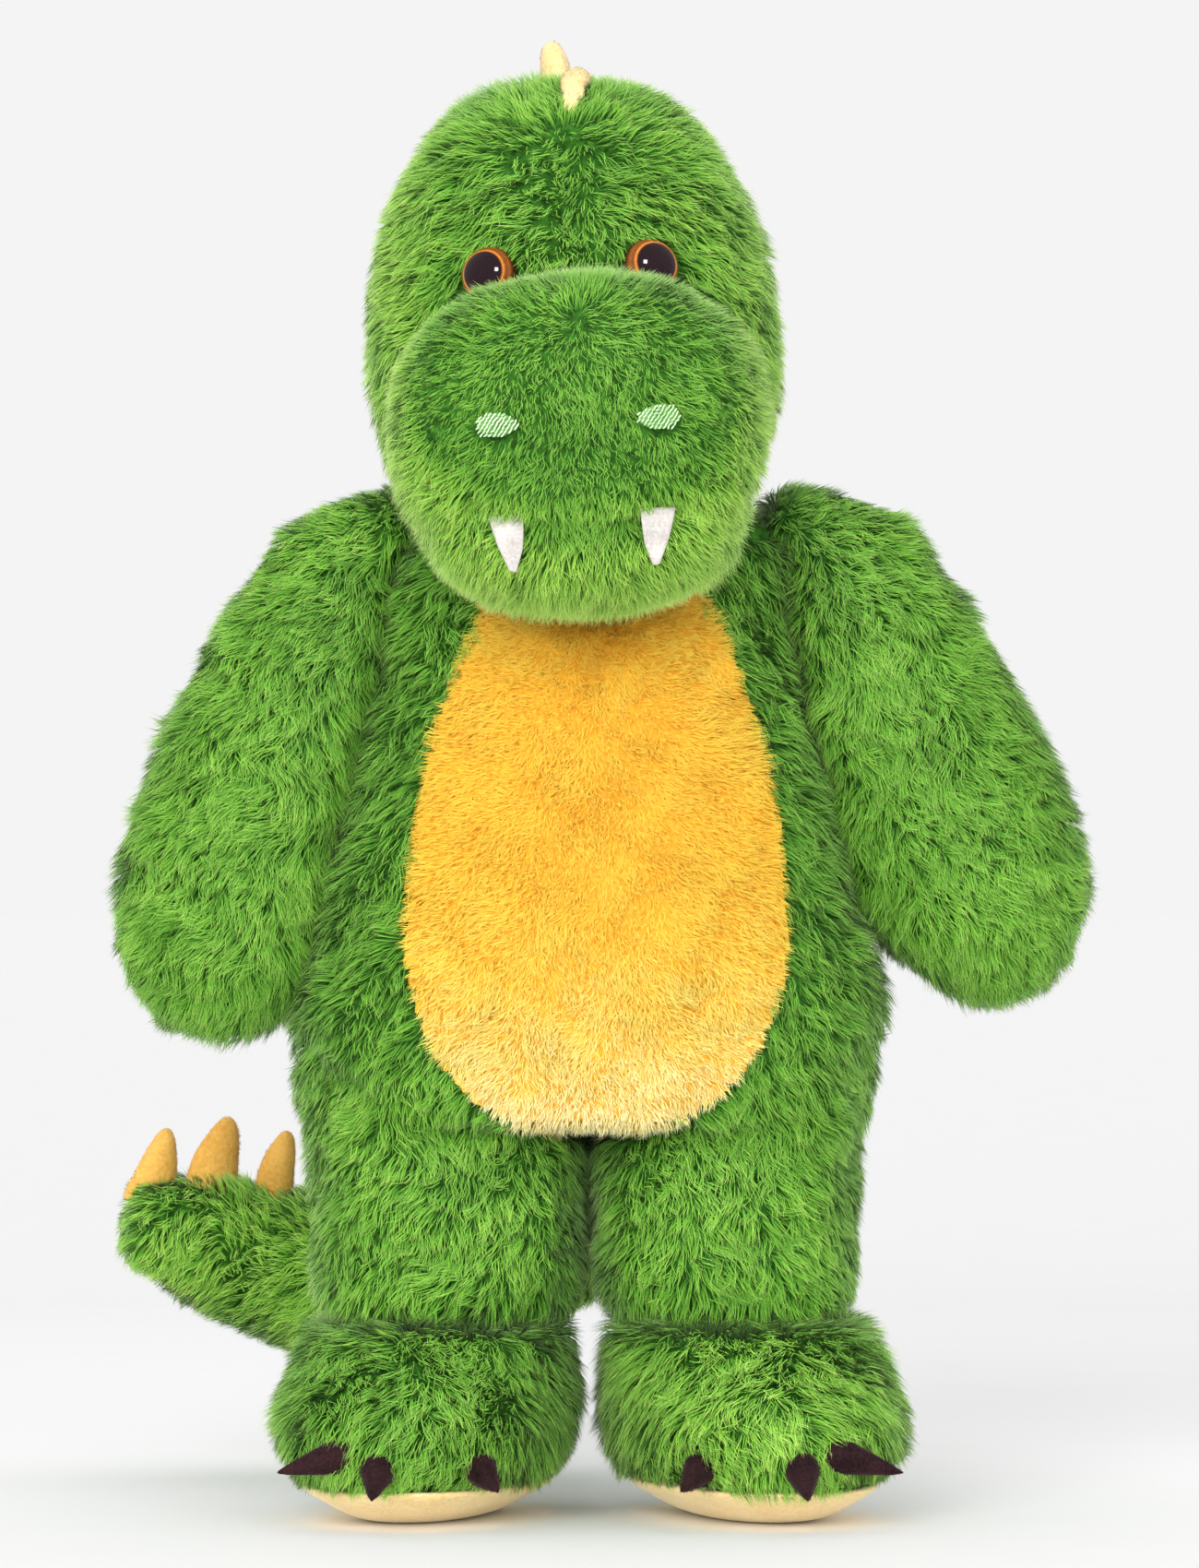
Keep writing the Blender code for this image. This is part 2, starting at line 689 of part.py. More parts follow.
def make_leg(side, name, joint):
    low, high = LEG_SECTIONS[0][0], FOOT_SECTIONS[-1][0]
    cover = cut(leg_volume(side, 0), leg_volume(side, COVER, bottom=low - 3))
    finish(cover, f"leg_cover_{name}", PLUSH, joint)
    finish(leg_volume(side, COVER + GAP, bottom=low + GAP), f"leg_stuffing_{name}", STUFFING, joint)
    sole_top = SOLE_SECTIONS[-1][0]
    foot_low = FOOT_SECTIONS[0][0]
    foot = foot_volume(FOOT_SECTIONS, side, 0)
    inside = foot_volume(FOOT_SECTIONS, side, COVER, top=high + 3, bottom=foot_low - 3)
    finish(cut(foot, inside), f"foot_cover_{name}", PLUSH, joint)
    filling = foot_volume(FOOT_SECTIONS, side, COVER + GAP, top=high - GAP, bottom=foot_low)
    cut(filling, box((-120, -120, 0), (120, 120, FOOT_STUFFING_FLOOR)))
    finish(filling, f"foot_stuffing_{name}", STUFFING, joint)
    finish(foot_volume(BEAN_BAG_SECTIONS, side, 0), f"foot_bean_bag_{name}", BEADS, joint)
    sole = foot_volume(SOLE_SECTIONS, side, 0, top=sole_top)
    dish = foot_volume(SOLE_SECTIONS, side, SOLE_THICKNESS, top=sole_top + 3)
    finish(cut(sole, dish), f"sole_{name}", VELOUR, joint)
    for number, values in enumerate(CLAWS, 1):
        make_claw(side, number, values, name, joint)


def tail_station(place):
    """Centre, radius, forward and up directions of the tail at a place counted along its path."""
    last = len(TAIL_PATH) - 1
    number = min(int(place), last - 1)
    here, there = Vector(TAIL_PATH[number]), Vector(TAIL_PATH[number + 1])
    now = here.lerp(there, place - number)
    before = Vector(TAIL_PATH[max(round(place) - 1, 0)][:3])
    after = Vector(TAIL_PATH[min(round(place) + 1, last)][:3])
    forward = (after - before).normalized()
    across = forward.cross(Vector((0, 0, 1))).normalized()
    return now.to_3d(), now.w, forward, across.cross(forward)


def tail_body(inset):
    """The tail as rings along its path."""
    rings = []
    for number in range(len(TAIL_PATH)):
        centre, radius, forward, up = tail_station(number)
        if number == len(TAIL_PATH) - 1:
            centre -= forward * inset
        rings.append(ring(centre, forward.cross(up), up, radius - inset, radius - inset))
    return skin_rings(rings)


def tail_ball(inset):
    """The ball at the tail's root, which turns in the torso's socket."""
    radius = TAIL_BALL - inset
    profile = []
    for degrees in range(-80, 81, 20):
        angle = math.radians(degrees)
        profile.append((radius * math.sin(angle), radius * math.cos(angle)))
    return turned(profile, TAIL_PIVOT, (0, 1, 0))


def tail_volume(inset):
    return join(tail_body(inset), tail_ball(inset))


def make_tail(joint):
    mouth = turned([(-30, 14), (-14, 14)], TAIL_PIVOT, (0, 1, 0))
    cover = cut(tail_volume(0), tail_volume(COVER), mouth)
    finish(cover, "tail_cover", PLUSH, joint)
    finish(tail_volume(COVER + GAP), "tail_stuffing", STUFFING, joint)
    for number, (place, half_length, half_thickness, height) in enumerate(TAIL_SPIKES, 1):
        centre, radius, forward, up = tail_station(place)
        foot = centre + up * (radius - 2)
        tip = foot + up * height
        cover = tail_volume(-SPIKE_GAP)
        spike(foot, tip, forward, half_length, half_thickness, cover, f"tail_spike_{number}", joint)


def build():
    clear_scene()
    toy = empty("toy", FRAME_SHIFT)
    make_torso(empty("torso", (0, 0, 0), toy))
    neck = empty("neck_turn", NECK_PIVOT, toy, roll=HEAD_ROLL)
    make_head(neck)
    neck.location.x += HEAD_SHIFT * MM
    for side, name in ((-1, "left"), (1, "right")):
        shoulder = (side * SHOULDER[0], SHOULDER[1], SHOULDER[2])
        make_arm(side, name, empty(f"shoulder_{name}", shoulder, toy))
        make_leg(side, name, empty(f"hip_{name}", (side * HIP[0], HIP[1], HIP[2]), toy))
    make_tail(empty("tail_lift", TAIL_PIVOT, toy))


build()
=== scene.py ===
"""The look of the stuffed dinosaur: padded skins, combed plush pile, velour, felt, thread and eyes.

Lengths are metres. Every place is worked out from the frame's nodes. The pile is real geometry: each
strand is a tapered ribbon that grows from a skin, follows a combing direction and leans to its clump.
"""

import math

import bmesh
import bpy
import numpy as np
from mathutils import Matrix, Vector, kdtree


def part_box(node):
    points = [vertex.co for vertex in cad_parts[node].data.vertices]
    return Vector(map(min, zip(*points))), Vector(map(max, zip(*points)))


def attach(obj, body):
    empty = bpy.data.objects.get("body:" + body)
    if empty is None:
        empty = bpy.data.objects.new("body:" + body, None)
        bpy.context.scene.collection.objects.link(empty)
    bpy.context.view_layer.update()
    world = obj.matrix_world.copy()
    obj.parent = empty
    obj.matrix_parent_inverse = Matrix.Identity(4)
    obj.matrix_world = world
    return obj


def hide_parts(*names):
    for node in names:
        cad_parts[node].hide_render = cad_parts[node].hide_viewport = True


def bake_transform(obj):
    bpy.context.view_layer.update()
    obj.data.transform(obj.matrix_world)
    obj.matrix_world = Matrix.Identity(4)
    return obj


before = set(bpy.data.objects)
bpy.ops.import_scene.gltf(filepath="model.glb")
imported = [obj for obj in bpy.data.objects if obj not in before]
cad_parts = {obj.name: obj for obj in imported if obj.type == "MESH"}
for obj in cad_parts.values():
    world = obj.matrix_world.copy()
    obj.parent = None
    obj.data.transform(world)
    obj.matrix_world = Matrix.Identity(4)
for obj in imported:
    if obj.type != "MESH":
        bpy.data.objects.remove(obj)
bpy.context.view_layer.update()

MM = 0.001
SIDES = ((-1, "left"), (1, "right"))
SEGMENTS = 2
MOST_STRANDS = 64000
SIM_FRAMES = 12
MOST_PUFF = 1.2 * MM
CAMERA_AWAY = 2.0
VIEW_HEIGHT = 405.7 * MM


def node_box(name):
    low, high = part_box(name)
    return np.array(low), np.array(high)


def middle(name):
    low, high = node_box(name)
    return (low + high) / 2


BODY_TOP = float(node_box("body_cover")[1][2])
MID_X = float(middle("body_cover")[0])
MID_Y = float(middle("body_cover")[1])


# ---------------------------------------------------------------- materials


def new_material(name):
    made = bpy.data.materials.new(name)
    made.use_nodes = True
    tree = made.node_tree
    shader = tree.nodes["Principled BSDF"]
    return made, tree, shader


def tune(node, levels):
    """Sets some of a node's inputs."""
    for name, level in levels.items():
        node.inputs[name].default_value = level


def ramp(tree, source, stops):
    node = tree.nodes.new("ShaderNodeValToRGB")
    node.color_ramp.elements[0].position = stops[0][0]
    node.color_ramp.elements[0].color = (*stops[0][1], 1)
    node.color_ramp.elements[1].position = stops[-1][0]
    node.color_ramp.elements[1].color = (*stops[-1][1], 1)
    for place, colour in stops[1:-1]:
        node.color_ramp.elements.new(place).color = (*colour, 1)
    tree.links.new(source, node.inputs["Fac"])
    return node.outputs["Color"]


def mix(tree, kind, amount, first, second):
    node = tree.nodes.new("ShaderNodeMix")
    node.data_type = "RGBA"
    node.blend_type = kind
    for socket, value in ((node.inputs[0], amount), (node.inputs[6], first), (node.inputs[7], second)):
        if isinstance(value, bpy.types.NodeSocket):
            tree.links.new(value, socket)
        else:
            socket.default_value = value if socket.type == "VALUE" else (*value, 1)
    return node.outputs[2]


def noise_texture(tree, scale, detail=3.0, coordinates="Object"):
    where = tree.nodes.new("ShaderNodeTexCoord")
    node = tree.nodes.new("ShaderNodeTexNoise")
    tune(node, {"Scale": scale, "Detail": detail})
    tree.links.new(where.outputs[coordinates], node.inputs["Vector"])
    return node.outputs["Fac"]


def bump(tree, shader, height, strength, distance):
    node = tree.nodes.new("ShaderNodeBump")
    tune(node, {"Strength": strength, "Distance": distance})
    tree.links.new(height, node.inputs["Height"])
    tree.links.new(node.outputs["Normal"], shader.inputs["Normal"])


def pile_material(name, along, across, sheen, tint, roughness=0.62):
    """Pile whose colour runs along each strand and changes from strand to strand.

    A strand's map holds its shade across and its length upwards.
    """
    made, tree, shader = new_material(name)
    place = tree.nodes.new("ShaderNodeUVMap")
    place.uv_map = "OFBake"
    split = tree.nodes.new("ShaderNodeSeparateXYZ")
    tree.links.new(place.outputs["UV"], split.inputs[0])
    # Painted shade and light: the ramp darkens each strand towards its root and lightens it towards its
    # tip, for the shade deep in the pile and the light on its tips.
    root_shade_tip_light = ramp(tree, split.outputs["Y"], along)
    shade = ramp(tree, split.outputs["X"], across)
    colour = mix(tree, "MULTIPLY", 1.0, root_shade_tip_light, shade)
    tree.links.new(colour, shader.inputs["Base Color"])
    tune(shader, {"Roughness": roughness, "Specular IOR Level": 0.18})
    tune(shader, {"Sheen Weight": sheen, "Sheen Roughness": 0.45, "Sheen Tint": (*tint, 1)})
    return made


def backing_material(name, dark, light, scale=420):
    """The knitted ground under the pile: dark, speckled and ribbed."""
    made, tree, shader = new_material(name)
    speckle = noise_texture(tree, scale)
    tree.links.new(ramp(tree, speckle, [(0.35, dark), (0.7, light)]), shader.inputs["Base Color"])
    bump(tree, shader, speckle, 0.8, 0.0012)
    tune(shader, {"Roughness": 0.95, "Specular IOR Level": 0.05})
    return made


def cloth_material(name, dark, light, scale, depth, sheen, tint=(1, 1, 1), roughness=0.85):
    """Felt or velour: two colours of matted fibre over fine and coarse noise."""
    made, tree, shader = new_material(name)
    fine = noise_texture(tree, scale, 6)
    coarse = noise_texture(tree, scale / 9, 2)
    blend = mix(tree, "MIX", 0.45, fine, coarse)
    colour = ramp(tree, blend, [(0.36, dark), (0.64, light)])
    tree.links.new(colour, shader.inputs["Base Color"])
    bump(tree, shader, fine, 0.7, depth)
    tune(shader, {"Roughness": roughness, "Specular IOR Level": 0.15})
    tune(shader, {"Sheen Weight": sheen, "Sheen Roughness": 0.4, "Sheen Tint": (*tint, 1)})
    return made


def assign(obj, made):
    obj.data.materials.clear()
    obj.data.materials.append(made)


# Green along a strand: the dark roots are painted shade between the tufts, and the pale tips are painted
# light at the tips.
GREEN_ALONG = [
    (0.0, (0.030, 0.105, 0.008)),
    (0.25, (0.075, 0.26, 0.018)),
    (0.6, (0.17, 0.48, 0.040)),
    (0.85, (0.34, 0.70, 0.090)),
    (1.0, (0.66, 0.94, 0.28)),
]
GREEN_ACROSS = [
    (0.0, (0.42, 0.50, 0.38)),
    (0.35, (0.80, 0.84, 0.78)),
    (0.7, (1.05, 1.0, 1.0)),
    (1.0, (1.75, 1.32, 1.6)),
]
GREEN = pile_material("green_plush_pile", GREEN_ALONG, GREEN_ACROSS, 0.35, (0.8, 1.0, 0.55))
# The dark green ground is painted shade deep in the pile, as dark as the strands' roots.
GREEN_GROUND = backing_material("green_plush_ground", (0.015, 0.06, 0.007), (0.05, 0.19, 0.02))
BELLY_ALONG = [
    (0.0, (0.95, 0.54, 0.045)),
    (0.4, (1.0, 0.62, 0.055)),
    (0.75, (1.0, 0.74, 0.085)),
    (1.0, (1.0, 0.80, 0.14)),
]
BELLY_ACROSS = [
    (0.0, (0.92, 0.66, 0.40)),
    (0.35, (1.0, 0.90, 0.70)),
    (0.6, (1.0, 1.0, 1.0)),
    (0.85, (1.0, 1.16, 2.6)),
    (1.0, (1.0, 1.30, 6.0)),
]
BELLY = pile_material("belly_plush_pile", BELLY_ALONG, BELLY_ACROSS, 0.25, (1.0, 0.9, 0.55))
BELLY_GROUND = backing_material("belly_plush_ground", (0.80, 0.40, 0.03), (0.98, 0.58, 0.06))
CREAM_ALONG = [(0.0, (0.72, 0.46, 0.14)), (0.5, (0.95, 0.72, 0.32)), (1.0, (1.0, 0.88, 0.58))]
TAN_ALONG = [(0.0, (0.55, 0.27, 0.05)), (0.5, (0.82, 0.46, 0.10)), (1.0, (0.95, 0.62, 0.20))]
PLAIN_ACROSS = [(0.0, (0.82, 0.80, 0.78)), (1.0, (1.1, 1.1, 1.1))]
CREAM = pile_material("cream_velour_pile", CREAM_ALONG, PLAIN_ACROSS, 0.4, (1, 0.95, 0.8))
TAN = pile_material("tan_velour_pile", TAN_ALONG, PLAIN_ACROSS, 0.4, (1, 0.85, 0.6))
DARK_ALONG = [(0.0, (0.010, 0.003, 0.004)), (1.0, (0.045, 0.014, 0.018))]
DARK = pile_material("dark_felt_fuzz", DARK_ALONG, PLAIN_ACROSS, 0.25, (0.6, 0.35, 0.4))
PALE_ALONG = [(0.0, (0.52, 0.48, 0.46)), (1.0, (0.78, 0.74, 0.70))]
PALE = pile_material("white_felt_fuzz", PALE_ALONG, PLAIN_ACROSS, 0.3, (1, 1, 1))
SOLE_VELOUR = cloth_material(
    "sole_velour", (0.86, 0.60, 0.25), (0.98, 0.78, 0.42), 900, 0.0003, 0.5, (1, 0.93, 0.75)
)
CREAM_VELOUR = cloth_material(
    "cream_velour", (0.86, 0.58, 0.22), (0.98, 0.80, 0.45), 900, 0.0004, 0.5, (1, 0.95, 0.8)
)
TAN_VELOUR = cloth_material(
    "tan_velour", (0.66, 0.34, 0.06), (0.86, 0.50, 0.12), 900, 0.0004, 0.4, (1, 0.85, 0.6)
)
WHITE_FELT = cloth_material("white_felt", (0.48, 0.44, 0.42), (0.70, 0.66, 0.62), 1500, 0.0004, 0.3)
DARK_FELT = cloth_material(
    "dark_felt", (0.008, 0.002, 0.003), (0.035, 0.012, 0.014), 1300, 0.0004, 0.15, (0.6, 0.35, 0.4)
)
MINT_THREAD = cloth_material(
    "mint_thread", (0.36, 0.60, 0.28), (0.78, 0.94, 0.68), 2600, 0.0001, 0.35, roughness=0.5
)
STITCH_GROUND = cloth_material("stitch_ground", (0.10, 0.26, 0.05), (0.22, 0.48, 0.12), 1800, 0.0002, 0.1)
FIBRE_FILL = cloth_material("fibre_fill", (0.62, 0.62, 0.60), (0.90, 0.90, 0.88), 260, 0.002, 0.3)
BEAD_BAG = cloth_material("bead_bag", (0.50, 0.48, 0.42), (0.82, 0.80, 0.74), 700, 0.0008, 0.1)
NYLON = cloth_material(
    "moulded_nylon", (0.60, 0.60, 0.57), (0.74, 0.74, 0.71), 500, 0.0001, 0.0, roughness=0.45
)


# ---------------------------------------------------------------- meshes


def pulled(items, field, kind=np.float32, width=3):
    """One field of a mesh's items as rows."""
    values = np.empty(len(items) * width, kind)
    items.foreach_get(field, values)
    return values.reshape(-1, width)


def mesh_arrays(obj):
    """Points, triangles and smooth normals of an object whose mesh is in world places."""
    mesh = obj.data
    mesh.calc_loop_triangles()
    points = pulled(mesh.vertices, "co").astype(float)
    normals = pulled(mesh.vertex_normals, "vector").astype(float)
    return points, pulled(mesh.loop_triangles, "vertices", np.int32), normals


def set_points(obj, points):
    obj.data.vertices.foreach_set("co", points.astype(np.float32).ravel())
    obj.data.update()


def link(data, name):
    made = bpy.data.objects.new(name, data)
    bpy.context.scene.collection.objects.link(made)
    return made


def built(shape, name):
    """An object from a bmesh, which is freed."""
    mesh = bpy.data.meshes.new(name)
    shape.to_mesh(mesh)
    shape.free()
    return link(mesh, name)


def applied(obj):
    """Takes the object's modifiers into its mesh."""
    bpy.context.view_layer.update()
    graph = bpy.context.evaluated_depsgraph_get()
    mesh = bpy.data.meshes.new_from_object(obj.evaluated_get(graph))
    obj.modifiers.clear()
    obj.data = mesh
    return obj


def largest_piece(obj):
    """Keeps only the outer skin of a remeshed solid."""
    shape = bmesh.new()
    shape.from_mesh(obj.data)
    shape.verts.ensure_lookup_table()
    seen = set()
    groups = []
    for start in shape.verts:
        if start in seen:
            continue
        group, edge = [], [start]
        seen.add(start)
        while edge:
            here = edge.pop()
            group.append(here)
            for step in here.link_edges:
                there = step.other_vert(here)
                if there not in seen:
                    seen.add(there)
                    edge.append(there)
        groups.append(group)
    groups.sort(key=len, reverse=True)
    for group in groups[1:]:
        bmesh.ops.delete(shape, geom=group, context="VERTS")
    shape.to_mesh(obj.data)
    shape.free()


def relaxed(obj, rounds, strength=0.5):
    """Laplacian smoothing."""
    mesh = obj.data
    edges = pulled(mesh.edges, "vertices", np.int32, 2)
    points = mesh_arrays(obj)[0]
    degree = np.bincount(edges.ravel(), minlength=len(points))[:, None]
    for _ in range(rounds):
        total = np.zeros_like(points)
        np.add.at(total, edges[:, 0], points[edges[:, 1]])
        np.add.at(total, edges[:, 1], points[edges[:, 0]])
        points += (total / np.maximum(degree, 1) - points) * strength
    set_points(obj, points)


def solid_from(name, nodes, voxel):
    """One closed skin round some CAD nodes."""
    shape = bmesh.new()
    for node in nodes:
        shape.from_mesh(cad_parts[node].data)
    made = built(shape, name)
    step = made.modifiers.new("remesh", "REMESH")
    step.mode = "VOXEL"
    step.voxel_size = voxel
    applied(made)
    largest_piece(made)
    return made


def sink(obj, depth):
    """Sets a skin back along its normals. The depth is a length, or what depth(points, normals) gives."""
    points, _, normals = mesh_arrays(obj)
    amount = depth(points, normals)[:, None] if callable(depth) else depth
    set_points(obj, points - normals * amount)


def pressed(points, lines):
    """How deep each point lies in some creases. Each is (two or more points, half width, depth)."""
    press = np.zeros(len(points))
    for path, half_width, depth in lines:
        path = np.array(path, float)
        near = np.full(len(points), 1e9)
        for start, end in zip(path, path[1:]):
            run = end - start
            share = np.clip(((points - start) @ run) / (run @ run), 0, 1)
            near = np.minimum(near, np.linalg.norm(points - start - share[:, None] * run, axis=1))
        press = np.maximum(press, depth * np.exp(-((near / half_width) ** 2)))
    return press


def creases(obj, lines):
    """Presses creases into a skin."""
    points, _, normals = mesh_arrays(obj)
    set_points(obj, points - normals * pressed(points, lines)[:, None])


def laid_on(skin, lines):
    """The same creases, each point moved along Y onto the front of the skin."""
    points, _, normals = mesh_arrays(skin)
    front = points[normals[:, 1] < -0.15]
    laid = []
    for path, half_width, depth in lines:
        found = []
        for x, _, z in path:
            nearest = np.hypot(front[:, 0] - x, front[:, 2] - z).argmin()
            found.append((x, front[nearest, 1], z))
        laid.append((found, half_width, depth))
    return laid


def inflate(obj):
    """Puffs a skin out with a short cloth simulation of a stuffed cover, by MOST_PUFF at most."""
    before = mesh_arrays(obj)[0]
    cloth = obj.modifiers.new("cloth", "CLOTH")
    settings = cloth.settings
    settings.use_pressure = True
    settings.uniform_pressure_force = 4
    settings.effector_weights.gravity = 0
    settings.quality = 4
    settings.mass = 0.15
    settings.tension_stiffness = 12
    settings.compression_stiffness = 12
    settings.bending_stiffness = 0.3
    scene = bpy.context.scene
    for number in range(1, SIM_FRAMES + 1):
        scene.frame_set(number)
    graph = bpy.context.evaluated_depsgraph_get()
    evaluated = obj.evaluated_get(graph).to_mesh()
    moved = pulled(evaluated.vertices, "co") - before
    obj.evaluated_get(graph).to_mesh_clear()
    obj.modifiers.clear()
    scene.frame_set(1)
    far = np.linalg.norm(moved, axis=1)[:, None]
    moved *= np.minimum(1, MOST_PUFF / np.maximum(far, 1e-9))
    set_points(obj, before + moved)
    relaxed(obj, 1)


def padded_skin(name, nodes, voxel, depth, rounds=6):
    """A skin set back from the CAD surface by the depth of the laid pile, smoothed and puffed."""
    made = solid_from(name, nodes, voxel)
    relaxed(made, rounds)
    sink(made, depth)
    relaxed(made, 2)
    inflate(made)
    made.data.shade_smooth()
    return made


def rise(values, start, width):
    """0 up to start, then up to 1 over the width. Both are in millimetres."""
    return np.clip((values - start * MM) / (width * MM), 0, 1)


def hump(values, centre, width):
    """1 at the centre, falling off over the width. Both are in millimetres."""
    return np.exp(-(((values - centre * MM) / (width * MM)) ** 2))


# ---------------------------------------------------------------- pile


class Waves:
    """A smooth random field: a seeded sum of plane waves, about -1 to 1."""

    def __init__(self, seed, size, count=9):
        draw = np.random.default_rng(seed)
        ways = draw.normal(size=(count, 3))
        ways /= np.linalg.norm(ways, axis=1)[:, None]
        self.ways = ways * (2 * math.pi / size) * draw.uniform(0.6, 1.6, (count, 1))
        self.starts = draw.uniform(0, 2 * math.pi, count)

    def __call__(self, points):
        return np.sin(points @ self.ways.T + self.starts).sum(1) / math.sqrt(len(self.starts) * 1.2)


def unit(vectors):
    return vectors / np.maximum(np.linalg.norm(vectors, axis=1), 1e-9)[:, None]


def scatter(obj, count, draw):
    """Seeded points spread evenly over a skin, with their normals."""
    points, corners, normals = mesh_arrays(obj)
    a, b, c = (points[corners[:, i]] for i in range(3))
    areas = np.linalg.norm(np.cross(b - a, c - a), axis=1)
    share = np.cumsum(areas)
    chosen = np.searchsorted(share, draw.uniform(0, share[-1], count))
    chosen = np.minimum(chosen, len(corners) - 1)
    u, v = draw.uniform(size=(2, count, 1))
    flip = (u + v > 1).ravel()
    u[flip], v[flip] = 1 - u[flip], 1 - v[flip]
    w = 1 - u - v
    spots = a[chosen] * w + b[chosen] * u + c[chosen] * v
    n = [normals[corners[chosen, i]] for i in range(3)]
    return spots, unit(n[0] * w + n[1] * u + n[2] * v)


def clumps_of(points, count):
    """For each strand, the strand it leans to: one in every few is a leader."""
    leaders = np.arange(0, len(points), count)
    tree = kdtree.KDTree(len(leaders))
    for number, leader in enumerate(leaders):
        tree.insert(points[leader], number)
    tree.balance()
    return np.array([leaders[tree.find(point)[1]] for point in points])


def grow(points, normals, comb, length, style, draw, seed):
    """Centre lines of the strands, as an array of strand, step and place."""
    count = len(points)
    swirl = Waves(seed + 11, style["swirl_size"])(points) * style["swirl"]
    fine = Waves(seed + 12, style["swirl_size"] / 3.5)(points) * style["swirl"] * 0.6
    turn = swirl + fine + draw.normal(0, style["stray"], count)
    bend = draw.normal(0, style["curl"], count)
    flat = unit(comb - (comb * normals).sum(1)[:, None] * normals)
    side = np.cross(normals, flat)
    flat = flat * np.cos(turn)[:, None] + side * np.sin(turn)[:, None]
    raised = 1 + 0.35 * Waves(seed + 13, style["swirl_size"] * 0.8)(points) + draw.normal(0, 0.16, count)
    lines = np.empty((count, SEGMENTS + 1, 3))
    lines[:, 0] = points - normals * 0.4 * MM
    down = np.array([0, 0, -1.0])
    for step in range(SEGMENTS):
        lift = (style["lifts"][step] * raised)[:, None]
        flow = flat + side * (bend * step)[:, None]
        flow = flow * (1 - 0.3 * np.clip(lift, 0, 1))
        way = unit(normals * lift + flow + down * style["sag"] * (step + 1))
        lines[:, step + 1] = lines[:, step] + way * (length / SEGMENTS)[:, None]
    leader = clumps_of(points, style["clump_count"])
    for step in range(1, SEGMENTS + 1):
        pull = style["clump"] * (step / SEGMENTS) ** 1.3
        spread = (points - points[leader]) * 0.25
        lines[:, step] += (lines[leader, step] + spread - lines[:, step]) * pull
    return lines


def pile_mesh(name, lines, normals, shade, width, draw):
    """Ribbons along the centre lines, each ending in a point, with their map and soft normals."""
    count = len(lines)
    roll = draw.uniform(-0.9, 0.9, count)
    rows = SEGMENTS * 2 + 1
    places = np.empty((count, rows, 3))
    softness = np.empty((count, rows, 3))
    half = width * draw.uniform(0.75, 1.25, count) / 2
    for step in range(SEGMENTS):
        way = unit(lines[:, step + 1] - lines[:, step])
        flat = unit(np.cross(way, normals))
        up = np.cross(flat, way)
        across = flat * np.cos(roll)[:, None] + up * np.sin(roll)[:, None]
        taper = (1 - 0.55 * (step / SEGMENTS) ** 1.5) * half
        places[:, step * 2] = lines[:, step] - across * taper[:, None]
        places[:, step * 2 + 1] = lines[:, step] + across * taper[:, None]
        soft = normals * 0.75 + up * 0.35
        softness[:, step * 2] = soft - across * 0.45
        softness[:, step * 2 + 1] = soft + across * 0.45
    places[:, -1] = lines[:, -1]
    softness[:, -1] = normals * 0.8 + unit(lines[:, -1] - lines[:, -2]) * 0.3
    quads = [(i * 2, i * 2 + 1, i * 2 + 3, i * 2 + 2) for i in range(SEGMENTS - 1)]
    tip = (SEGMENTS * 2 - 2, SEGMENTS * 2 - 1, SEGMENTS * 2)
    pattern = [corner for face in (*quads, tip) for corner in face]
    sizes = [4] * len(quads) + [3]
    base = (np.arange(count) * rows)[:, None]
    loops = (base + np.array(pattern)[None]).ravel()
    totals = np.tile(sizes, count)
    mesh = bpy.data.meshes.new(name)
    mesh.vertices.add(count * rows)
    mesh.vertices.foreach_set("co", places.astype(np.float32).ravel())
    mesh.loops.add(len(loops))
    mesh.loops.foreach_set("vertex_index", loops.astype(np.int32))
    mesh.polygons.add(len(totals))
    starts = np.concatenate([[0], np.cumsum(totals)[:-1]])
    mesh.polygons.foreach_set("loop_start", starts.astype(np.int32))
    mesh.polygons.foreach_set("loop_total", totals.astype(np.int32))
    mesh.update()
    map_layer = mesh.uv_layers.new(name="OFBake")
    heights = np.array([row // 2 / SEGMENTS for row in range(rows - 1)] + [1.0])
    edges = np.array([row % 2 for row in range(rows - 1)] + [0.5])
    u = np.clip(shade, 0, 1)[:, None] * 0.98 + edges[None] * 0.012 + 0.004
    v = np.broadcast_to(heights[None] * 0.996 + 0.002, (count, rows))
    place = np.stack([u, v], axis=2).reshape(-1, 2)[loops]
    map_layer.data.foreach_set("uv", place.astype(np.float32).ravel())
    mesh.shade_smooth()
    mesh.normals_split_custom_set_from_vertices(unit(softness.reshape(-1, 3)).astype(np.float32))
    return link(mesh, name)


LONG = {
    "lifts": (1.15, 0.50), "sag": 0.05, "swirl": 0.58, "swirl_size": 0.026, "curl": 0.5,
    "stray": 0.42, "clump": 0.56, "clump_count": 9, "width": 0.32 * MM,
}
MEDIUM = {
    "lifts": (1.15, 0.55), "sag": 0.04, "swirl": 0.50, "swirl_size": 0.024, "curl": 0.45,
    "stray": 0.42, "clump": 0.52, "clump_count": 9, "width": 0.30 * MM,
}
SHORT = {
    "lifts": (1.3, 0.70), "sag": 0.03, "swirl": 0.42, "swirl_size": 0.020, "curl": 0.4,
    "stray": 0.45, "clump": 0.34, "clump_count": 9, "width": 0.27 * MM,
}
FUZZ = {
    "lifts": (1.2, 0.8), "sag": 0.0, "swirl": 0.8, "swirl_size": 0.006, "curl": 0.3,
    "stray": 0.8, "clump": 0.0, "clump_count": 6, "width": 0.16 * MM,
}


def plain_tone(points, draw, seed, base=0.34):
    """Shade of each strand: patches the size of a clump, and every strand a little different."""
    patches = 0.13 * Waves(seed + 7, 0.011)(points) + 0.06 * Waves(seed + 8, 0.04)(points)
    return base + patches + draw.normal(0, 0.20, len(points))


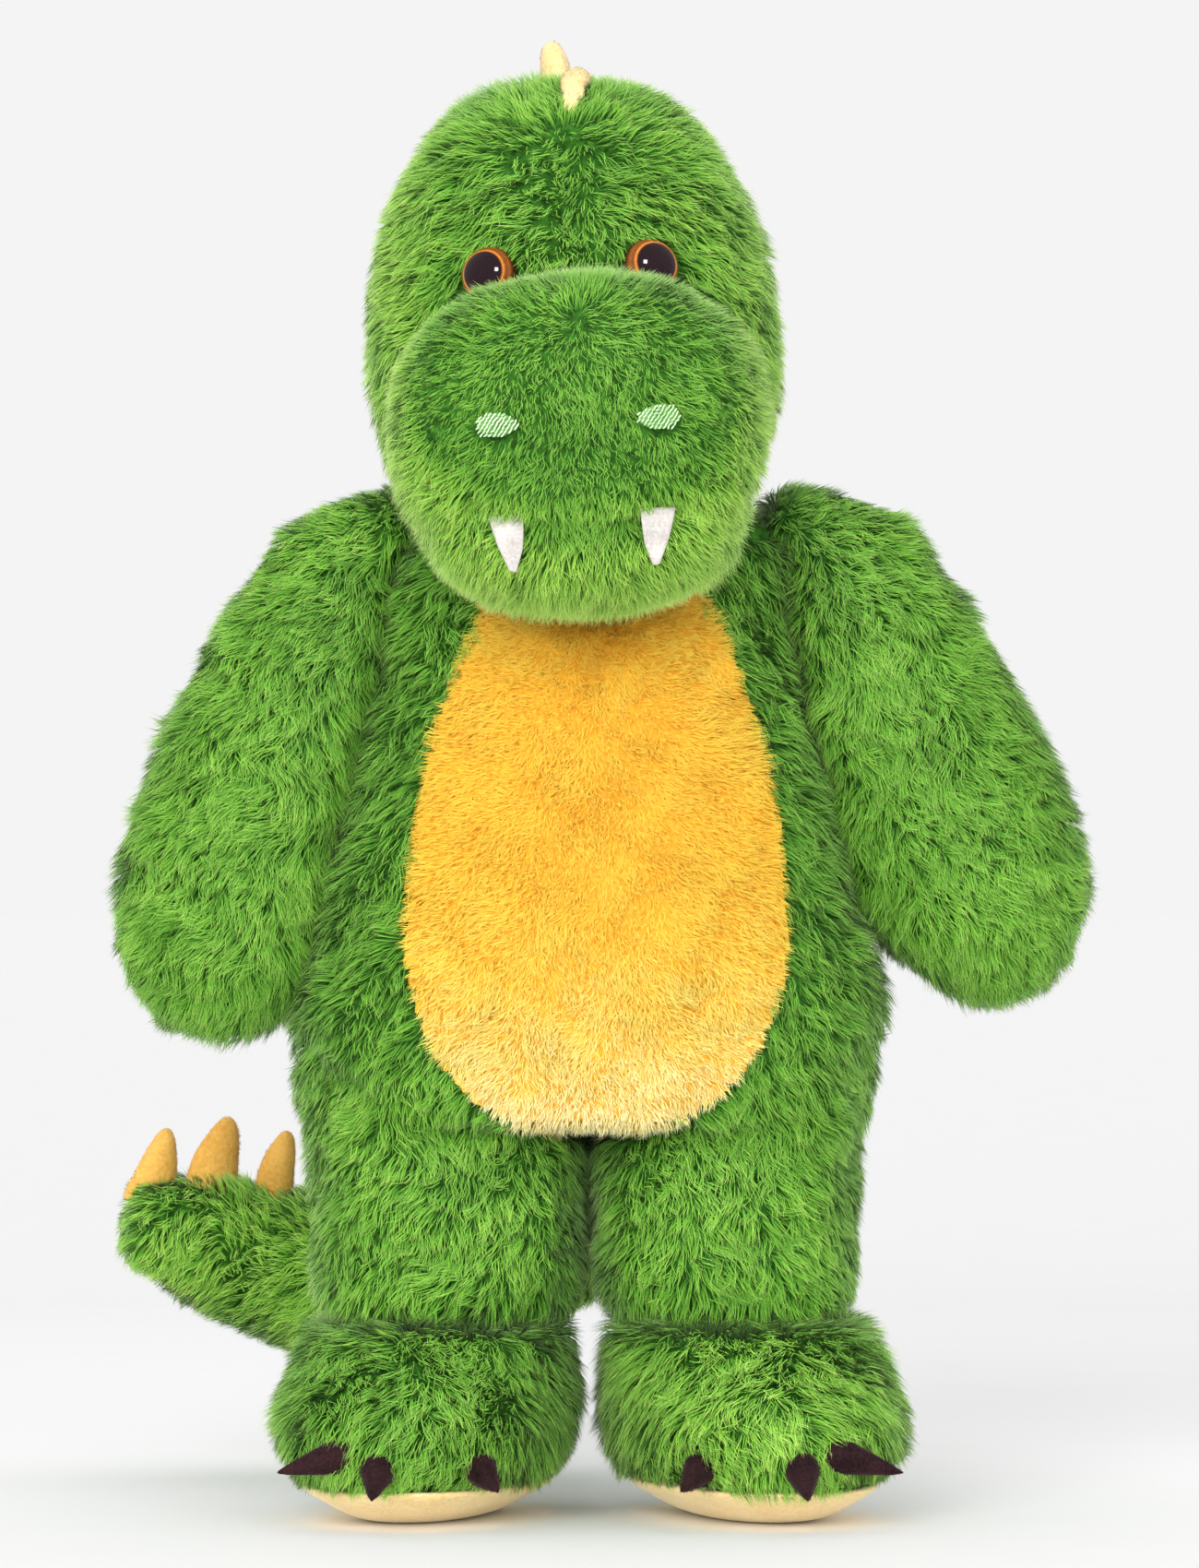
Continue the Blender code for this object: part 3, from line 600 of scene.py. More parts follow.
def coat(
    name, skin, style, count, length, comb, material, place, seed, keep=None, shade=None,
):
    """Covers a skin with pile. place(piece) says what the pile rides on.

    comb(points, normals) gives the strands' directions and keep(points, normals) where they grow.
    length may be a function too, and shade(points, draw) gives how light each strand is.
    """
    draw = np.random.default_rng(seed)
    points, normals = scatter(skin, count, draw)
    if keep is not None:
        kept = keep(points, normals)
        points, normals = points[kept], normals[kept]
    full = np.full(len(points), length) if not callable(length) else length(points, normals)
    full = full * (1 + 0.16 * Waves(seed + 5, 0.03)(points)) * draw.uniform(0.72, 1.1, len(points))
    lines = grow(points, normals, comb(points, normals), full, style, draw, seed)
    tone = plain_tone(points, draw, seed) if shade is None else shade(points, draw)
    parts = max(1, math.ceil(len(points) / MOST_STRANDS))
    made = []
    for part in range(parts):
        some = slice(part, None, parts)
        title = name if parts == 1 else f"{name}_{part + 1}"
        piece = pile_mesh(title, lines[some], normals[some], tone[some], style["width"], draw)
        assign(piece, material)
        place(piece)
        made.append(piece)
    return made


def riding(body):
    return lambda piece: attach(piece, body)


def towards(direction):
    way = np.array(direction, float)
    return lambda points, normals: np.broadcast_to(way, points.shape)


def combed(points, across, down=-1):
    """A direction for every point, from a share along X and one along Z."""
    way = np.zeros_like(points)
    way[:, 0] = across
    way[:, 2] = down
    return way


# ---------------------------------------------------------------- camera, light and stage


def make_camera():
    camera = link(bpy.data.cameras.new("camera"), "camera")
    camera.location = (MID_X + 2.4 * MM, MID_Y - CAMERA_AWAY, 188.5 * MM)
    camera.rotation_euler = (math.pi / 2, 0, 0)
    camera.data.sensor_fit = "VERTICAL"
    camera.data.sensor_height = 24
    camera.data.lens = 24 * CAMERA_AWAY / VIEW_HEIGHT
    bpy.context.scene.camera = camera


def make_sun(name, way, strength, spread):
    data = bpy.data.lights.new(name, "SUN")
    data.energy = strength
    data.angle = math.radians(spread)
    lamp = link(data, name)
    lamp.visible_glossy = False
    lamp.location = -Vector(way)
    lamp.rotation_euler = Vector(way).to_track_quat("-Z", "Y").to_euler()


def make_stage():
    """Even light all round, two soft keys and the eyes' catch light, over a pale floor painted lighter
    near the middle, painted light that offsets the shade the toy casts on it, so that it looks of one
    tone.
    """
    scene = bpy.context.scene
    scene.view_settings.view_transform = "Standard"
    world = scene.world or bpy.data.worlds.new("world")
    scene.world = world
    world.use_nodes = True
    tune(world.node_tree.nodes["Background"], {"Color": (0.905, 0.905, 0.905, 1), "Strength": 1.0})
    make_sun("key", (0.30, 1.0, -0.32), 2.25, 35)
    make_sun("fill", (-0.40, 1.0, -0.2), 0.9, 45)
    lamp = bpy.data.lights.new("catch_light", "AREA")
    lamp.energy = 30
    lamp.size = 0.36
    catch = link(lamp, "catch_light")
    catch.visible_diffuse = False
    catch.location = (MID_X + 0.10, MID_Y - 1.6, 1.10)
    catch.rotation_euler = Vector((-0.10, 1.6, -0.78)).to_track_quat("-Z", "Y").to_euler()
    shape = bmesh.new()
    bmesh.ops.create_circle(shape, cap_ends=True, segments=96, radius=9)
    floor = built(shape, "floor")
    made, tree, shader = new_material("pale_floor")
    speck = noise_texture(tree, 30, 2)
    place = tree.nodes.new("ShaderNodeTexCoord")
    spread = tree.nodes.new("ShaderNodeVectorMath")
    spread.operation = "LENGTH"
    tree.links.new(place.outputs["Object"], spread.inputs[0])
    # Painted light: the floor is lighter near the middle, offsetting the sky light that the toy blocks
    # there.
    floor_painted_light = ramp(tree, spread.outputs["Value"], [(0.1, (0.90,) * 3), (0.8, (0.776,) * 3)])
    grain = ramp(tree, speck, [(0, (0.99,) * 3), (1, (1.01,) * 3)])
    tree.links.new(mix(tree, "MULTIPLY", 1.0, floor_painted_light, grain), shader.inputs["Base Color"])
    tune(shader, {"Roughness": 1.0, "Specular IOR Level": 0.0})
    assign(floor, made)


make_camera()
make_stage()


# ---------------------------------------------------------------- skins


def under(skin, place, *nodes, material=GREEN_GROUND, slot="green_plush", fill=0.8):
    """Finishes a skin: it carries the pile and stands for its CAD cover and stuffing."""
    assign(skin, material)
    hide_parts(*nodes)
    place(skin)
    return skin


HEAD_MID = middle("head_cover")
HEAD_LOW, HEAD_HIGH = node_box("head_cover")
MUZZLE_LOW, MUZZLE_HIGH = node_box("muzzle_cover")
MUZZLE_MID = (MUZZLE_LOW + MUZZLE_HIGH) / 2
HEAD_ROLL = math.radians(-2.9)
WHORL = np.array([HEAD_MID[0] - 1.5 * MM, HEAD_LOW[1] + 20 * MM, HEAD_HIGH[2] - 16 * MM])


def on_head(x, y, z):
    """A place given in millimetres from the middle of the head, rolled with it."""
    turned = Matrix.Rotation(HEAD_ROLL, 3, "Y") @ Vector((x, y, z))
    return np.array(HEAD_MID) + np.array(turned) * MM


def eye_place(name):
    """Middle of the eye's base, and the way it looks."""
    washer = Vector(middle(f"eye_washer_{name}"))
    aim = (Vector(middle(f"eye_{name}")) - washer).normalized()
    return washer + aim * 8.2 * MM, aim


EYE_RADIUS = 7.25 * MM
EYE_CLEARING = 8.8 * MM
EYES = [eye_place(name) for _, name in SIDES]
NOSTRILS = [middle(f"nostril_{name}") for _, name in SIDES]


def clear_of_eyes(points):
    kept = np.ones(len(points), bool)
    for centre, aim in EYES:
        away = points - np.array(centre)
        along = away @ np.array(aim)
        off_axis = away - along[:, None] * np.array(aim)
        kept &= (np.linalg.norm(off_axis, axis=1) > EYE_CLEARING) | (along < -20 * MM)
    return kept


FACE_LINES = [
    ([on_head(0, -50, 36), on_head(0.5, -53, 14)], 3.2 * MM, 2.4 * MM),
    ([on_head(-4, -47, 34), on_head(-16, -46, 29), on_head(-24, -42, 27)], 3 * MM, 1.8 * MM),
    ([on_head(5, -47, 32), on_head(16, -46, 29), on_head(26, -42, 28)], 3 * MM, 1.8 * MM),
    ([on_head(-28, -44, 8), on_head(-32, -40, -8)], 4 * MM, 1.6 * MM),
    ([on_head(28, -44, 8), on_head(32, -40, -8)], 4 * MM, 1.6 * MM),
]


def make_head():
    ride = riding("head")
    skull = padded_skin("head_skin", ["head_cover", "head_stuffing"], 2.5 * MM, 3.2 * MM)
    face_lines = laid_on(skull, FACE_LINES)
    creases(skull, face_lines)
    under(skull, ride, "head_cover", "head_stuffing")

    def snout_depth(points, normals):
        return np.where(points[:, 2] < MUZZLE_LOW[2] + 4 * MM, 2.2 * MM, 3.0 * MM)

    lip = MUZZLE_LOW[2] - 1 * MM
    front = MUZZLE_LOW[1]
    lip_line = [(MUZZLE_MID[0] + x * MM, front + y * MM, lip + z * MM) for x, y, z in
                ((-24, 8, 3), (-16, 4, 0.5), (0, 3, 0), (16, 4, 0), (24, 8, 1.5))]
    folds = [(lip_line, 2.6 * MM, 3.0 * MM)]
    for side in (-1, 1):
        fold = [(MUZZLE_MID[0] + side * x * MM, front + y * MM, MUZZLE_MID[2] + z * MM) for x, y, z in
                ((31, 12, 20), (36, 11, 4), (34, 11, -12))]
        folds.append((fold, 4 * MM, 1.0 * MM))
    snout = padded_skin("snout_skin", ["muzzle_cover", "chin_cover"], 2.5 * MM, snout_depth, 7)
    folds = laid_on(snout, folds)
    creases(snout, folds)
    under(snout, ride, "muzzle_cover", "chin_cover")

    def skull_comb(points, normals):
        away = points - WHORL
        away[:, 1] *= 0.8
        return unit(away) + np.array([0, 0.15, -0.25])

    def skull_keep(points, normals):
        hidden = (points[:, 1] < HEAD_MID[1] - 34 * MM) & (points[:, 2] < MUZZLE_MID[2] + 8 * MM)
        hidden &= np.abs(points[:, 0] - MUZZLE_MID[0]) < 44 * MM
        return clear_of_eyes(points) & ~hidden

    def skull_shade(points, draw):
        # Painted light: the strands are lighter towards the sides of the head, for the light at its
        # outline.
        aside = np.abs(points[:, 0] - HEAD_MID[0]) / (54 * MM)
        tone = np.interp(aside, [0, 0.4, 0.8, 1.0], [0.58, 0.64, 0.86, 0.96])
        # Painted shade: the strands over the face creases are darker.
        tone -= pressed(points, face_lines) / (2.4 * MM) * 0.45
        return tone + 0.10 * Waves(28, 0.03)(points) + draw.normal(0, 0.15, len(points))

    coat("head_pile", skull, MEDIUM, 80000, 8.2 * MM, skull_comb, GREEN, ride, 21, skull_keep, skull_shade)

    parting = np.array([MUZZLE_MID[0], front + 10 * MM, MUZZLE_HIGH[2] - 16 * MM])

    def snout_comb(points, normals):
        away = points - parting
        below = points[:, 2] < lip
        away[below, 2] += 10 * MM
        away[:, 1] *= 0.55
        return unit(away) + np.array([0, 0, -0.35]) * (1 - snout_rim(points))[:, None]

    def snout_keep(points, normals):
        kept = clear_of_eyes(points) & (points[:, 1] < HEAD_MID[1] - 22 * MM)
        for spot in NOSTRILS:
            across = (points[:, 0] - spot[0]) / (5.0 * MM)
            up = (points[:, 2] - spot[2]) / (3.0 * MM)
            kept &= (across**2 + up**2 > 1) | (points[:, 1] > spot[1] + 8 * MM)
        return kept

    def snout_length(points, normals):
        rim = snout_rim(points)
        return np.interp(rim, [0, 0.6, 1.0], [6.0 * MM, 6.5 * MM, 8.0 * MM])

    def snout_shade(points, draw):
        rim = snout_rim(points)
        # Painted light: the strands are lighter round the snout's outline, for the light on its outward
        # tips.
        tone = np.interp(rim, [0, 0.42, 0.52, 0.66, 1.0], [0.44, 0.42, 0.60, 0.98, 1.0])
        # Painted light: a lighter patch over the parting covers the shade where the pile parts.
        tone += 0.22 * np.exp(-((np.linalg.norm(points - parting, axis=1) / (11 * MM)) ** 2))
        # Painted shade: the strands over the lip line and side folds are darker.
        tone -= pressed(points, folds) / (3.0 * MM) * 0.30
        return tone + 0.08 * Waves(37, 0.02)(points) + draw.normal(0, 0.13, len(points))

    def fringe_keep(points, normals):
        over = (points[:, 2] > lip + 0.5 * MM) & (points[:, 2] < lip + 5 * MM)
        return over & (points[:, 1] < front + 16 * MM)

    coat(
        "lip_fringe", snout, SHORT, 60000, 5.5 * MM, towards((0, -0.5, -1)), GREEN, ride, 36, fringe_keep,
        snout_shade,
    )
    coat(
        "snout_pile", snout, SHORT, 92000, snout_length, snout_comb, GREEN, ride, 31, snout_keep,
        snout_shade,
    )


def snout_rim(points):
    """0 in the middle of the front of the snout, 1 round its outline."""
    across = (points[:, 0] - MUZZLE_MID[0]) / (48 * MM)
    up = (points[:, 2] - MUZZLE_MID[2]) / (38 * MM)
    down = np.minimum(up, 0)
    up = np.where(points[:, 2] < MUZZLE_LOW[2], down * 0.8, up)
    return np.clip(np.abs(across) ** 2.4 + np.abs(up) ** 2.4, 0, 1)


BELLY_LOW, BELLY_HIGH = node_box("belly_panel")
BELLY_X = float(middle("belly_panel")[0])
BELLY_BELOW = 53 * MM
BELLY_ABOVE = 112 * MM


def belly_share(points):
    """Below 1 inside the belly panel's egg outline."""
    half = (BELLY_HIGH[0] - BELLY_LOW[0]) / 2
    x = np.abs(points[:, 0] - BELLY_X) / half
    z = points[:, 2] - BELLY_LOW[2] - BELLY_BELOW
    tall = np.where(z > 0, BELLY_ABOVE, BELLY_BELOW)
    power = np.where(z > 0, 1.75, 2.0)
    return x**power + np.abs(z / tall) ** power


def belly_height(points):
    """0 at the bottom of the belly panel and 1 at its top."""
    return (points[:, 2] - BELLY_LOW[2]) / (BELLY_HIGH[2] - BELLY_LOW[2])


def in_front(points):
    return points[:, 1] < MID_Y


def make_torso():
    """The torso, belly and both legs as one skin."""
    nodes = ["body_cover", "belly_panel", "body_stuffing"]
    for _, name in SIDES:
        nodes += [f"leg_cover_{name}", f"leg_stuffing_{name}"]

    def depth(points, normals):
        sideways = np.abs(normals[:, 0])
        across = points[:, 0] - MID_X
        z = points[:, 2]
        by_arm = rise(z, 120, 20) * sideways
        between_legs = (np.abs(across) < 12 * MM) & (z < 95 * MM)
        shoulder = rise(z, 236, 12) * np.where(across > 0, 1.9, 1.0)
        hip = hump(z, 122, 17) * sideways
        upper = rise(z, 222, 14) * sideways
        out = (2.8 * by_arm + 2.6 * upper + 3.4 * shoulder + np.where(across < 0, 5.5, 3.5) * hip) * MM
        thin = 2.6 * MM * sideways * ((across > 40 * MM) & (z < 102 * MM))
        return np.where(between_legs, 1.0 * MM, 3.1 * MM - out + thin)

    return padded_skin("torso_skin", nodes, 3 * MM, depth, 8)


def leg_wrinkles():
    """Short slanting creases on the thighs and shins, seeded."""
    draw = np.random.default_rng(59)
    lines = []
    for side, _ in SIDES:
        for number in range(11):
            z = (60 + number * 7.5 + draw.uniform(-3, 3)) * MM
            angle = draw.uniform(-1.3, 1.2)
            run = draw.uniform(0.25, 0.5)
            path = []
            for step in range(4):
                turn = angle + run * step / 3
                x = MID_X + side * 37 * MM + math.sin(turn) * 33 * MM
                y = MID_Y - 5 * MM - math.cos(turn) * 34 * MM
                path.append((x, y, z + draw.uniform(-1.5, 1.5) * MM))
            lines.append((path, draw.uniform(2.2, 3.2) * MM, draw.uniform(1.4, 2.6) * MM))
    return lines


SPLIT_Z = 118 * MM
ANKLE_Z = 48 * MM


def bending():
    """Places a piece that crosses a hip."""
    return lambda piece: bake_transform(piece)


def bare(points):
    """Where the belly panel leaves no green pile."""
    return (belly_share(points) < 0.97) & in_front(points)


def cut_copy(skin, name, planes):
    """A copy of a skin, keeping what lies on the far side of each plane, given as (point, normal)."""
    made = link(skin.data.copy(), name)
    shape = bmesh.new()
    shape.from_mesh(made.data)
    for at, normal in planes:
        everything = shape.verts[:] + shape.edges[:] + shape.faces[:]
        bmesh.ops.bisect_plane(shape, geom=everything, plane_co=at, plane_no=normal, clear_inner=True)
    shape.to_mesh(made.data)
    shape.free()
    made.data.shade_smooth()
    return made


def make_body():
    whole = make_torso()
    wrinkles = laid_on(whole, leg_wrinkles())
    creases(whole, wrinkles)
    trunk = cut_copy(whole, "torso_cloth", [((0, 0, SPLIT_Z), (0, 0, 1))])
    under(trunk, riding("torso"), "body_cover", "body_stuffing")

    def trunk_comb(points, normals):
        return combed(points, (points[:, 0] - MID_X) * 7)

    def trunk_keep(points, normals):
        return ~bare(points) & (points[:, 2] < BODY_TOP - 4 * MM)

    def trunk_shade(points, draw):
        return plain_tone(points, draw, 51, 0.27)

    coat(
        "torso_pile", trunk, LONG, 72000, 8.8 * MM, trunk_comb, GREEN, riding("torso"), 51, trunk_keep,
        trunk_shade,
    )

    for side, name in SIDES:
        planes = [((0, 0, SPLIT_Z), (0, 0, -1)), ((MID_X, 0, 0), (side, 0, 0))]
        hip = cut_copy(whole, f"hip_cloth_{name}", planes)
        bends = bending()
        under(hip, bends, f"leg_cover_{name}", f"leg_stuffing_{name}")

        def leg_comb(points, normals, side=side):
            return combed(points, side * 0.22)

        def leg_keep(points, normals):
            return ~bare(points) & (points[:, 2] > ANKLE_Z)

        def leg_shade(points, draw):
            # Painted shade: the strands over the wrinkles are darker.
            return plain_tone(points, draw, 66, 0.40) - pressed(points, wrinkles) / (2.6 * MM) * 0.42

        coat(
            f"leg_pile_{name}", hip, LONG, 38000, 8.5 * MM, leg_comb, GREEN, bends, 61 + side, leg_keep,
            leg_shade,
        )

    def belly_comb(points, normals):
        up = belly_height(points)
        spread = np.interp(up, [0, 0.25, 0.6, 1.0], [16, 14, 22, 45])
        down = np.interp(up, [0, 0.3, 0.6, 1.0], [-1, -0.9, -0.5, -0.35])
        return combed(points, (points[:, 0] - BELLY_X) * spread, down)

    def belly_keep(points, normals):
        return (belly_share(points) < 0.99) & in_front(points) & (points[:, 2] < BODY_TOP - 8 * MM)

    def belly_shade(points, draw):
        up = belly_height(points)
        # Paler towards the bottom; the lighter top is painted light that offsets the chin's shadow there.
        tone = np.interp(up, [0, 0.12, 0.3, 0.5, 0.8, 1.0], [1.0, 0.90, 0.62, 0.40, 0.48, 0.72])
        return tone + 0.04 * Waves(77, 0.02)(points) + draw.normal(0, 0.06, len(points))

    def belly_faces(points):
        reach = np.where(points[:, 2] < BELLY_LOW[2] + 12 * MM, 0.95, 1.03)
        return (belly_share(points) < reach) & in_front(points)

    belly = link(whole.data.copy(), "belly_cloth")
    trim_to(belly, belly_faces)
    points, _, normals = mesh_arrays(belly)
    set_points(belly, points + normals * 0.8 * MM)
    belly.data.shade_smooth()
    under(belly, riding("torso"), "belly_panel", material=BELLY_GROUND, slot="belly_plush")
    style = dict(SHORT, lifts=(1.6, 1.0), clump=0.25, stray=0.55, width=0.25 * MM)
    coat(
        "belly_pile", belly, style, 63000, 5.2 * MM, belly_comb, BELLY, riding("torso"), 71,
        belly_keep, belly_shade,
    )
    bpy.data.objects.remove(whole, do_unlink=True)


def trim_to(obj, inside):
    """Removes the faces whose middles are not inside."""
    shape = bmesh.new()
    shape.from_mesh(obj.data)
    centres = np.array([face.calc_center_median() for face in shape.faces])
    kept = inside(centres)
    gone = [face for face, stays in zip(shape.faces, kept) if not stays]
    bmesh.ops.delete(shape, geom=gone, context="FACES")
    shape.to_mesh(obj.data)
    shape.free()


def make_arms():
    for side, name in SIDES:
        body = f"arm_{name}"
        nodes = (f"arm_cover_{name}", f"arm_stuffing_{name}")
        low, high = node_box(nodes[0])

        def inner_share(points, side=side, low=low, high=high):
            """0 at the outside of the arm and 1 on the side that lies on the torso."""
            z = (points[:, 2] - low[2]) / (high[2] - low[2])
            outer = np.interp(z, [0, 0.15, 0.5, 0.85, 1], [98, 116, 112, 84, 62]) * MM
            inner = np.interp(z, [0, 0.15, 0.5, 0.85, 1], [84, 72, 60, 50, 47]) * MM
            return np.clip((outer - side * (points[:, 0] - MID_X)) / (outer - inner), 0, 1)

        def depth(points, normals, side=side):
            inward = np.clip(-side * normals[:, 0], 0, 1)
            outward = np.clip(side * normals[:, 0], 0, 1)
            z = points[:, 2]
            held = rise(z, 140, 16) if side > 0 else 1.0
            top = rise(z, 244, 10) * np.clip(normals[:, 2], 0, 1)
            outer = hump(z, 184, 34) * (1 - inward)
            shoulder = hump(z, 252, 14) * outward
            by_neck = rise(z, 244, 8) * inward
            raised = 4.2 if side > 0 else 3.2
            inner = 3.0 * inward * held + (7.0 if side > 0 else 5.5) * by_neck
            rounded = (0.4 if side > 0 else 2.0) * shoulder
            return (3.1 - inner - raised * top + 1.2 * outer + rounded) * MM

        skin = padded_skin(f"arm_skin_{name}", nodes, 2.8 * MM, depth)
        under(skin, riding(body), *nodes)

        def comb(points, normals, side=side, inner_share=inner_share, high=high):
            out = np.interp(inner_share(points), [0, 0.6, 0.85, 1], [0.75, 0.5, 0.15, -0.1])
            return combed(points, side * (out + rise(points[:, 2] - high[2], -30, 30) * 0.5))

        def length(points, normals, high=high):
            top = rise(points[:, 2] - high[2], -25, 25)
            return (9.4 - 2 * top) * MM

        # Painted light: the left arm's strands are a little lighter than the right's, for how the light
        # falls on each side.
        def shade(points, draw, high=high, base=0.32 - 0.02 * side):
            top = rise(points[:, 2] - high[2], -25, 25)
            # Painted light: the top strands are lighter, offsetting the shadow at the arm's top.
            return plain_tone(points, draw, 88, base) + 0.20 * top

        coat(
            f"arm_pile_{name}", skin, LONG, 52000, length, comb, GREEN, riding(body), 81 + side,
            shade=shade,
        )


def make_feet():
    for side, name in SIDES:
        body = f"leg_{name}"
        nodes = [f"foot_cover_{name}", f"foot_stuffing_{name}", f"foot_bean_bag_{name}"]
        skin = padded_skin(f"foot_skin_{name}", nodes + [f"sole_{name}"], 2.8 * MM, 3.0 * MM)
        under(skin, riding(body), nodes[0], nodes[1])
        ankle = middle(f"leg_cover_{name}")
        sole_top = node_box(f"sole_{name}")[1][2]

        def comb(points, normals, ankle=ankle):
            way = points - ankle
            steep = np.interp(points[:, 2], [34 * MM, 58 * MM], [0.75, 2.2])
            way[:, 2] = -np.linalg.norm(way[:, :2], axis=1) * steep
            return way

        def keep(points, normals, sole_top=sole_top):
            return points[:, 2] > sole_top + 1.0 * MM

        def length(points, normals):
            return np.interp(points[:, 2] / MM, [10, 22, 44, 58], [6.5, 10, 10.5, 7.5]) * MM

        # Painted light: the right foot's strands are lighter than the left's, for how the light falls on
        # each side.
        def shade(points, draw, base=0.50 + 0.08 * side):
            return plain_tone(points, draw, 95, base)

        coat(
            f"foot_pile_{name}", skin, LONG, 38000, length, comb, GREEN, riding(body), 91 + side, keep,
            shade,
        )
        sole = solid_from(f"sole_pad_{name}", [f"sole_{name}", f"foot_bean_bag_{name}"], 1.6 * MM)
        relaxed(sole, 8)
        flatten_base(sole)
        sole.data.shade_smooth()
        under(sole, riding(body), f"sole_{name}", material=SOLE_VELOUR, slot="velour", fill=0.5)


def flatten_base(obj):
    """Puts the smoothed sole back on the floor."""
    points = mesh_arrays(obj)[0]
    points[:, 2] = np.maximum(points[:, 2] - points[:, 2].min(), 0)
    set_points(obj, points)


TAIL_WAY = [
    (0, 43.87, 111), (-16, 80.87, 72), (-52, 97.87, 50),
    (-88, 91.87, 56), (-112, 81.37, 66), (-126, 74.87, 72),
]


def make_tail():
    def depth(points, normals):
        tip = rise(MID_X - points[:, 0], 90, 25)
        far_end = rise(MID_X - points[:, 0], 60, 20)
        under_side = np.clip(-normals[:, 2], 0, 1) * far_end
        top_side = np.clip(normals[:, 2], 0, 1)
        return (3.2 - 1.2 * tip * (1 - under_side) + 3.6 * under_side - 2.6 * top_side) * MM

    skin = padded_skin("tail_skin", ["tail_cover", "tail_stuffing"], 3 * MM, depth)
    under(skin, riding("tail"), "tail_cover", "tail_stuffing")
    way = np.array([(x * MM + MID_X, y * MM, z * MM) for x, y, z in TAIL_WAY])

    def comb(points, normals):
        nearest = np.linalg.norm(points[:, None] - way[None], axis=2).argmin(1)
        after = way[np.minimum(nearest + 1, len(way) - 1)]
        before = way[np.maximum(nearest - 1, 0)]
        tip = rise(MID_X - points[:, 0], 96, 25)[:, None]
        along = unit(after - before) + np.array([0, 0, -0.35])
        beside = np.clip(1 - 1.5 * normals[:, 2:], 0, 1)
        return along + np.array([0, 0, -1.6]) * tip * beside

    # Painted light: the tail's strands are much lighter than the body's, offsetting the shade the tail
    # lies in.
    def shade(points, draw):
        return plain_tone(points, draw, 101, 0.72)

    coat("tail_pile", skin, LONG, 52000, 8.5 * MM, comb, GREEN, riding("tail"), 101, shade=shade)


# ---------------------------------------------------------------- trim


def trim_piece(name, node, voxel, rounds, material, body, root=0, plump=0):
    """A smoothed copy of a small CAD piece.

    Its foot runs on by root into the pile's skin, or stops short where root is negative, and its
    tip is rounder by plump.
    """
    made = solid_from(name, [node], voxel)
    relaxed(made, rounds)
    points, _, normals = mesh_arrays(made)
    low, high = points[:, 2].min(), points[:, 2].max()
    up = (points[:, 2] - low) / (high - low)
    points += normals * np.clip(up + 0.4, 0.5, 1)[:, None] * plump
    points[:, 2] -= np.clip(1 - up / 0.45, 0, 1) * root
    set_points(made, points)
    made.data.shade_smooth()
    assign(made, material)
    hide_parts(node)
    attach(made, body)
    return made


def make_spikes():
    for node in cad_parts:
        if "_spike_" not in node:
            continue
        body = {"head": "head", "back": "torso", "tail": "tail"}[node.split("_")[0]]
        cloth, fuzz = (CREAM_VELOUR, CREAM) if body == "head" else (TAN_VELOUR, TAN)
        root = 0 if body == "torso" else 5 * MM
        if middle(node)[0] < MID_X - 105 * MM:
            root = -5 * MM
        plump = (1.3 if body == "tail" else 0.7) * MM
        made = trim_piece(f"{node}_velour", node, 0.7 * MM, 4, cloth, body, root, plump)
        seed = 200 + sum(map(ord, node))
        coat(
            f"{node}_nap", made, FUZZ, 2600, 1.1 * MM, towards((0, 0, 1)), fuzz, riding(body), seed,
        )


def make_claws():
    for side, name in SIDES:
        for number in (1, 2, 3):
            node = f"claw_{name}_{number}"
            made = trim_piece(f"{node}_felt", node, 0.5 * MM, 3, DARK_FELT, f"leg_{name}")
            seed = 300 + number + side
            coat(
                f"{node}_fuzz", made, FUZZ, 1500, 0.9 * MM, towards((0, -1, 0)), DARK,
                riding(f"leg_{name}"), seed,
            )


def make_teeth():
    for side, name in SIDES:
        node = f"tooth_{name}"
        made = trim_piece(f"{node}_felt", node, 0.35 * MM, 3, WHITE_FELT, "head")
        points = mesh_arrays(made)[0]
        low, high = points[:, 2].min(), points[:, 2].max()
        points[:, 1] += np.clip((points[:, 2] - low) / (high - low) - 0.6, 0, 1) * 8 * MM
        set_points(made, points)
        coat(
            f"{node}_fuzz", made, dict(FUZZ, width=0.1 * MM), 900, 0.5 * MM, towards((0, 0, -1)), PALE,
            riding("head"), 320 + side,
        )


def eye_material():
    """Clear plastic over an amber ring and a near-black pupil, by distance from the eye's axis."""
    made, tree, shader = new_material("safety_eye")
    place = tree.nodes.new("ShaderNodeAttribute")
    place.attribute_name = "off_axis"
    fibres = noise_texture(tree, 1600, 2)
    rings = ramp(
        tree, place.outputs["Fac"],
        [
            (0.0, (0.016, 0.004, 0.008)),
            (0.70, (0.012, 0.003, 0.005)),
            (0.735, (0.16, 0.035, 0.006)),
            (0.765, (0.78, 0.27, 0.030)),
            (0.80, (0.62, 0.19, 0.022)),
            (0.84, (0.20, 0.055, 0.010)),
            (0.93, (0.33, 0.10, 0.016)),
            (1.0, (0.05, 0.012, 0.004)),
        ],
    )
    streaks = ramp(tree, fibres, [(0.3, (0.72, 0.70, 0.66)), (0.7, (1.05, 1.05, 1.05))])
    tree.links.new(mix(tree, "MULTIPLY", 1.0, rings, streaks), shader.inputs["Base Color"])
    tune(shader, {"Roughness": 0.07, "IOR": 1.5, "Specular IOR Level": 0.22})
    return made


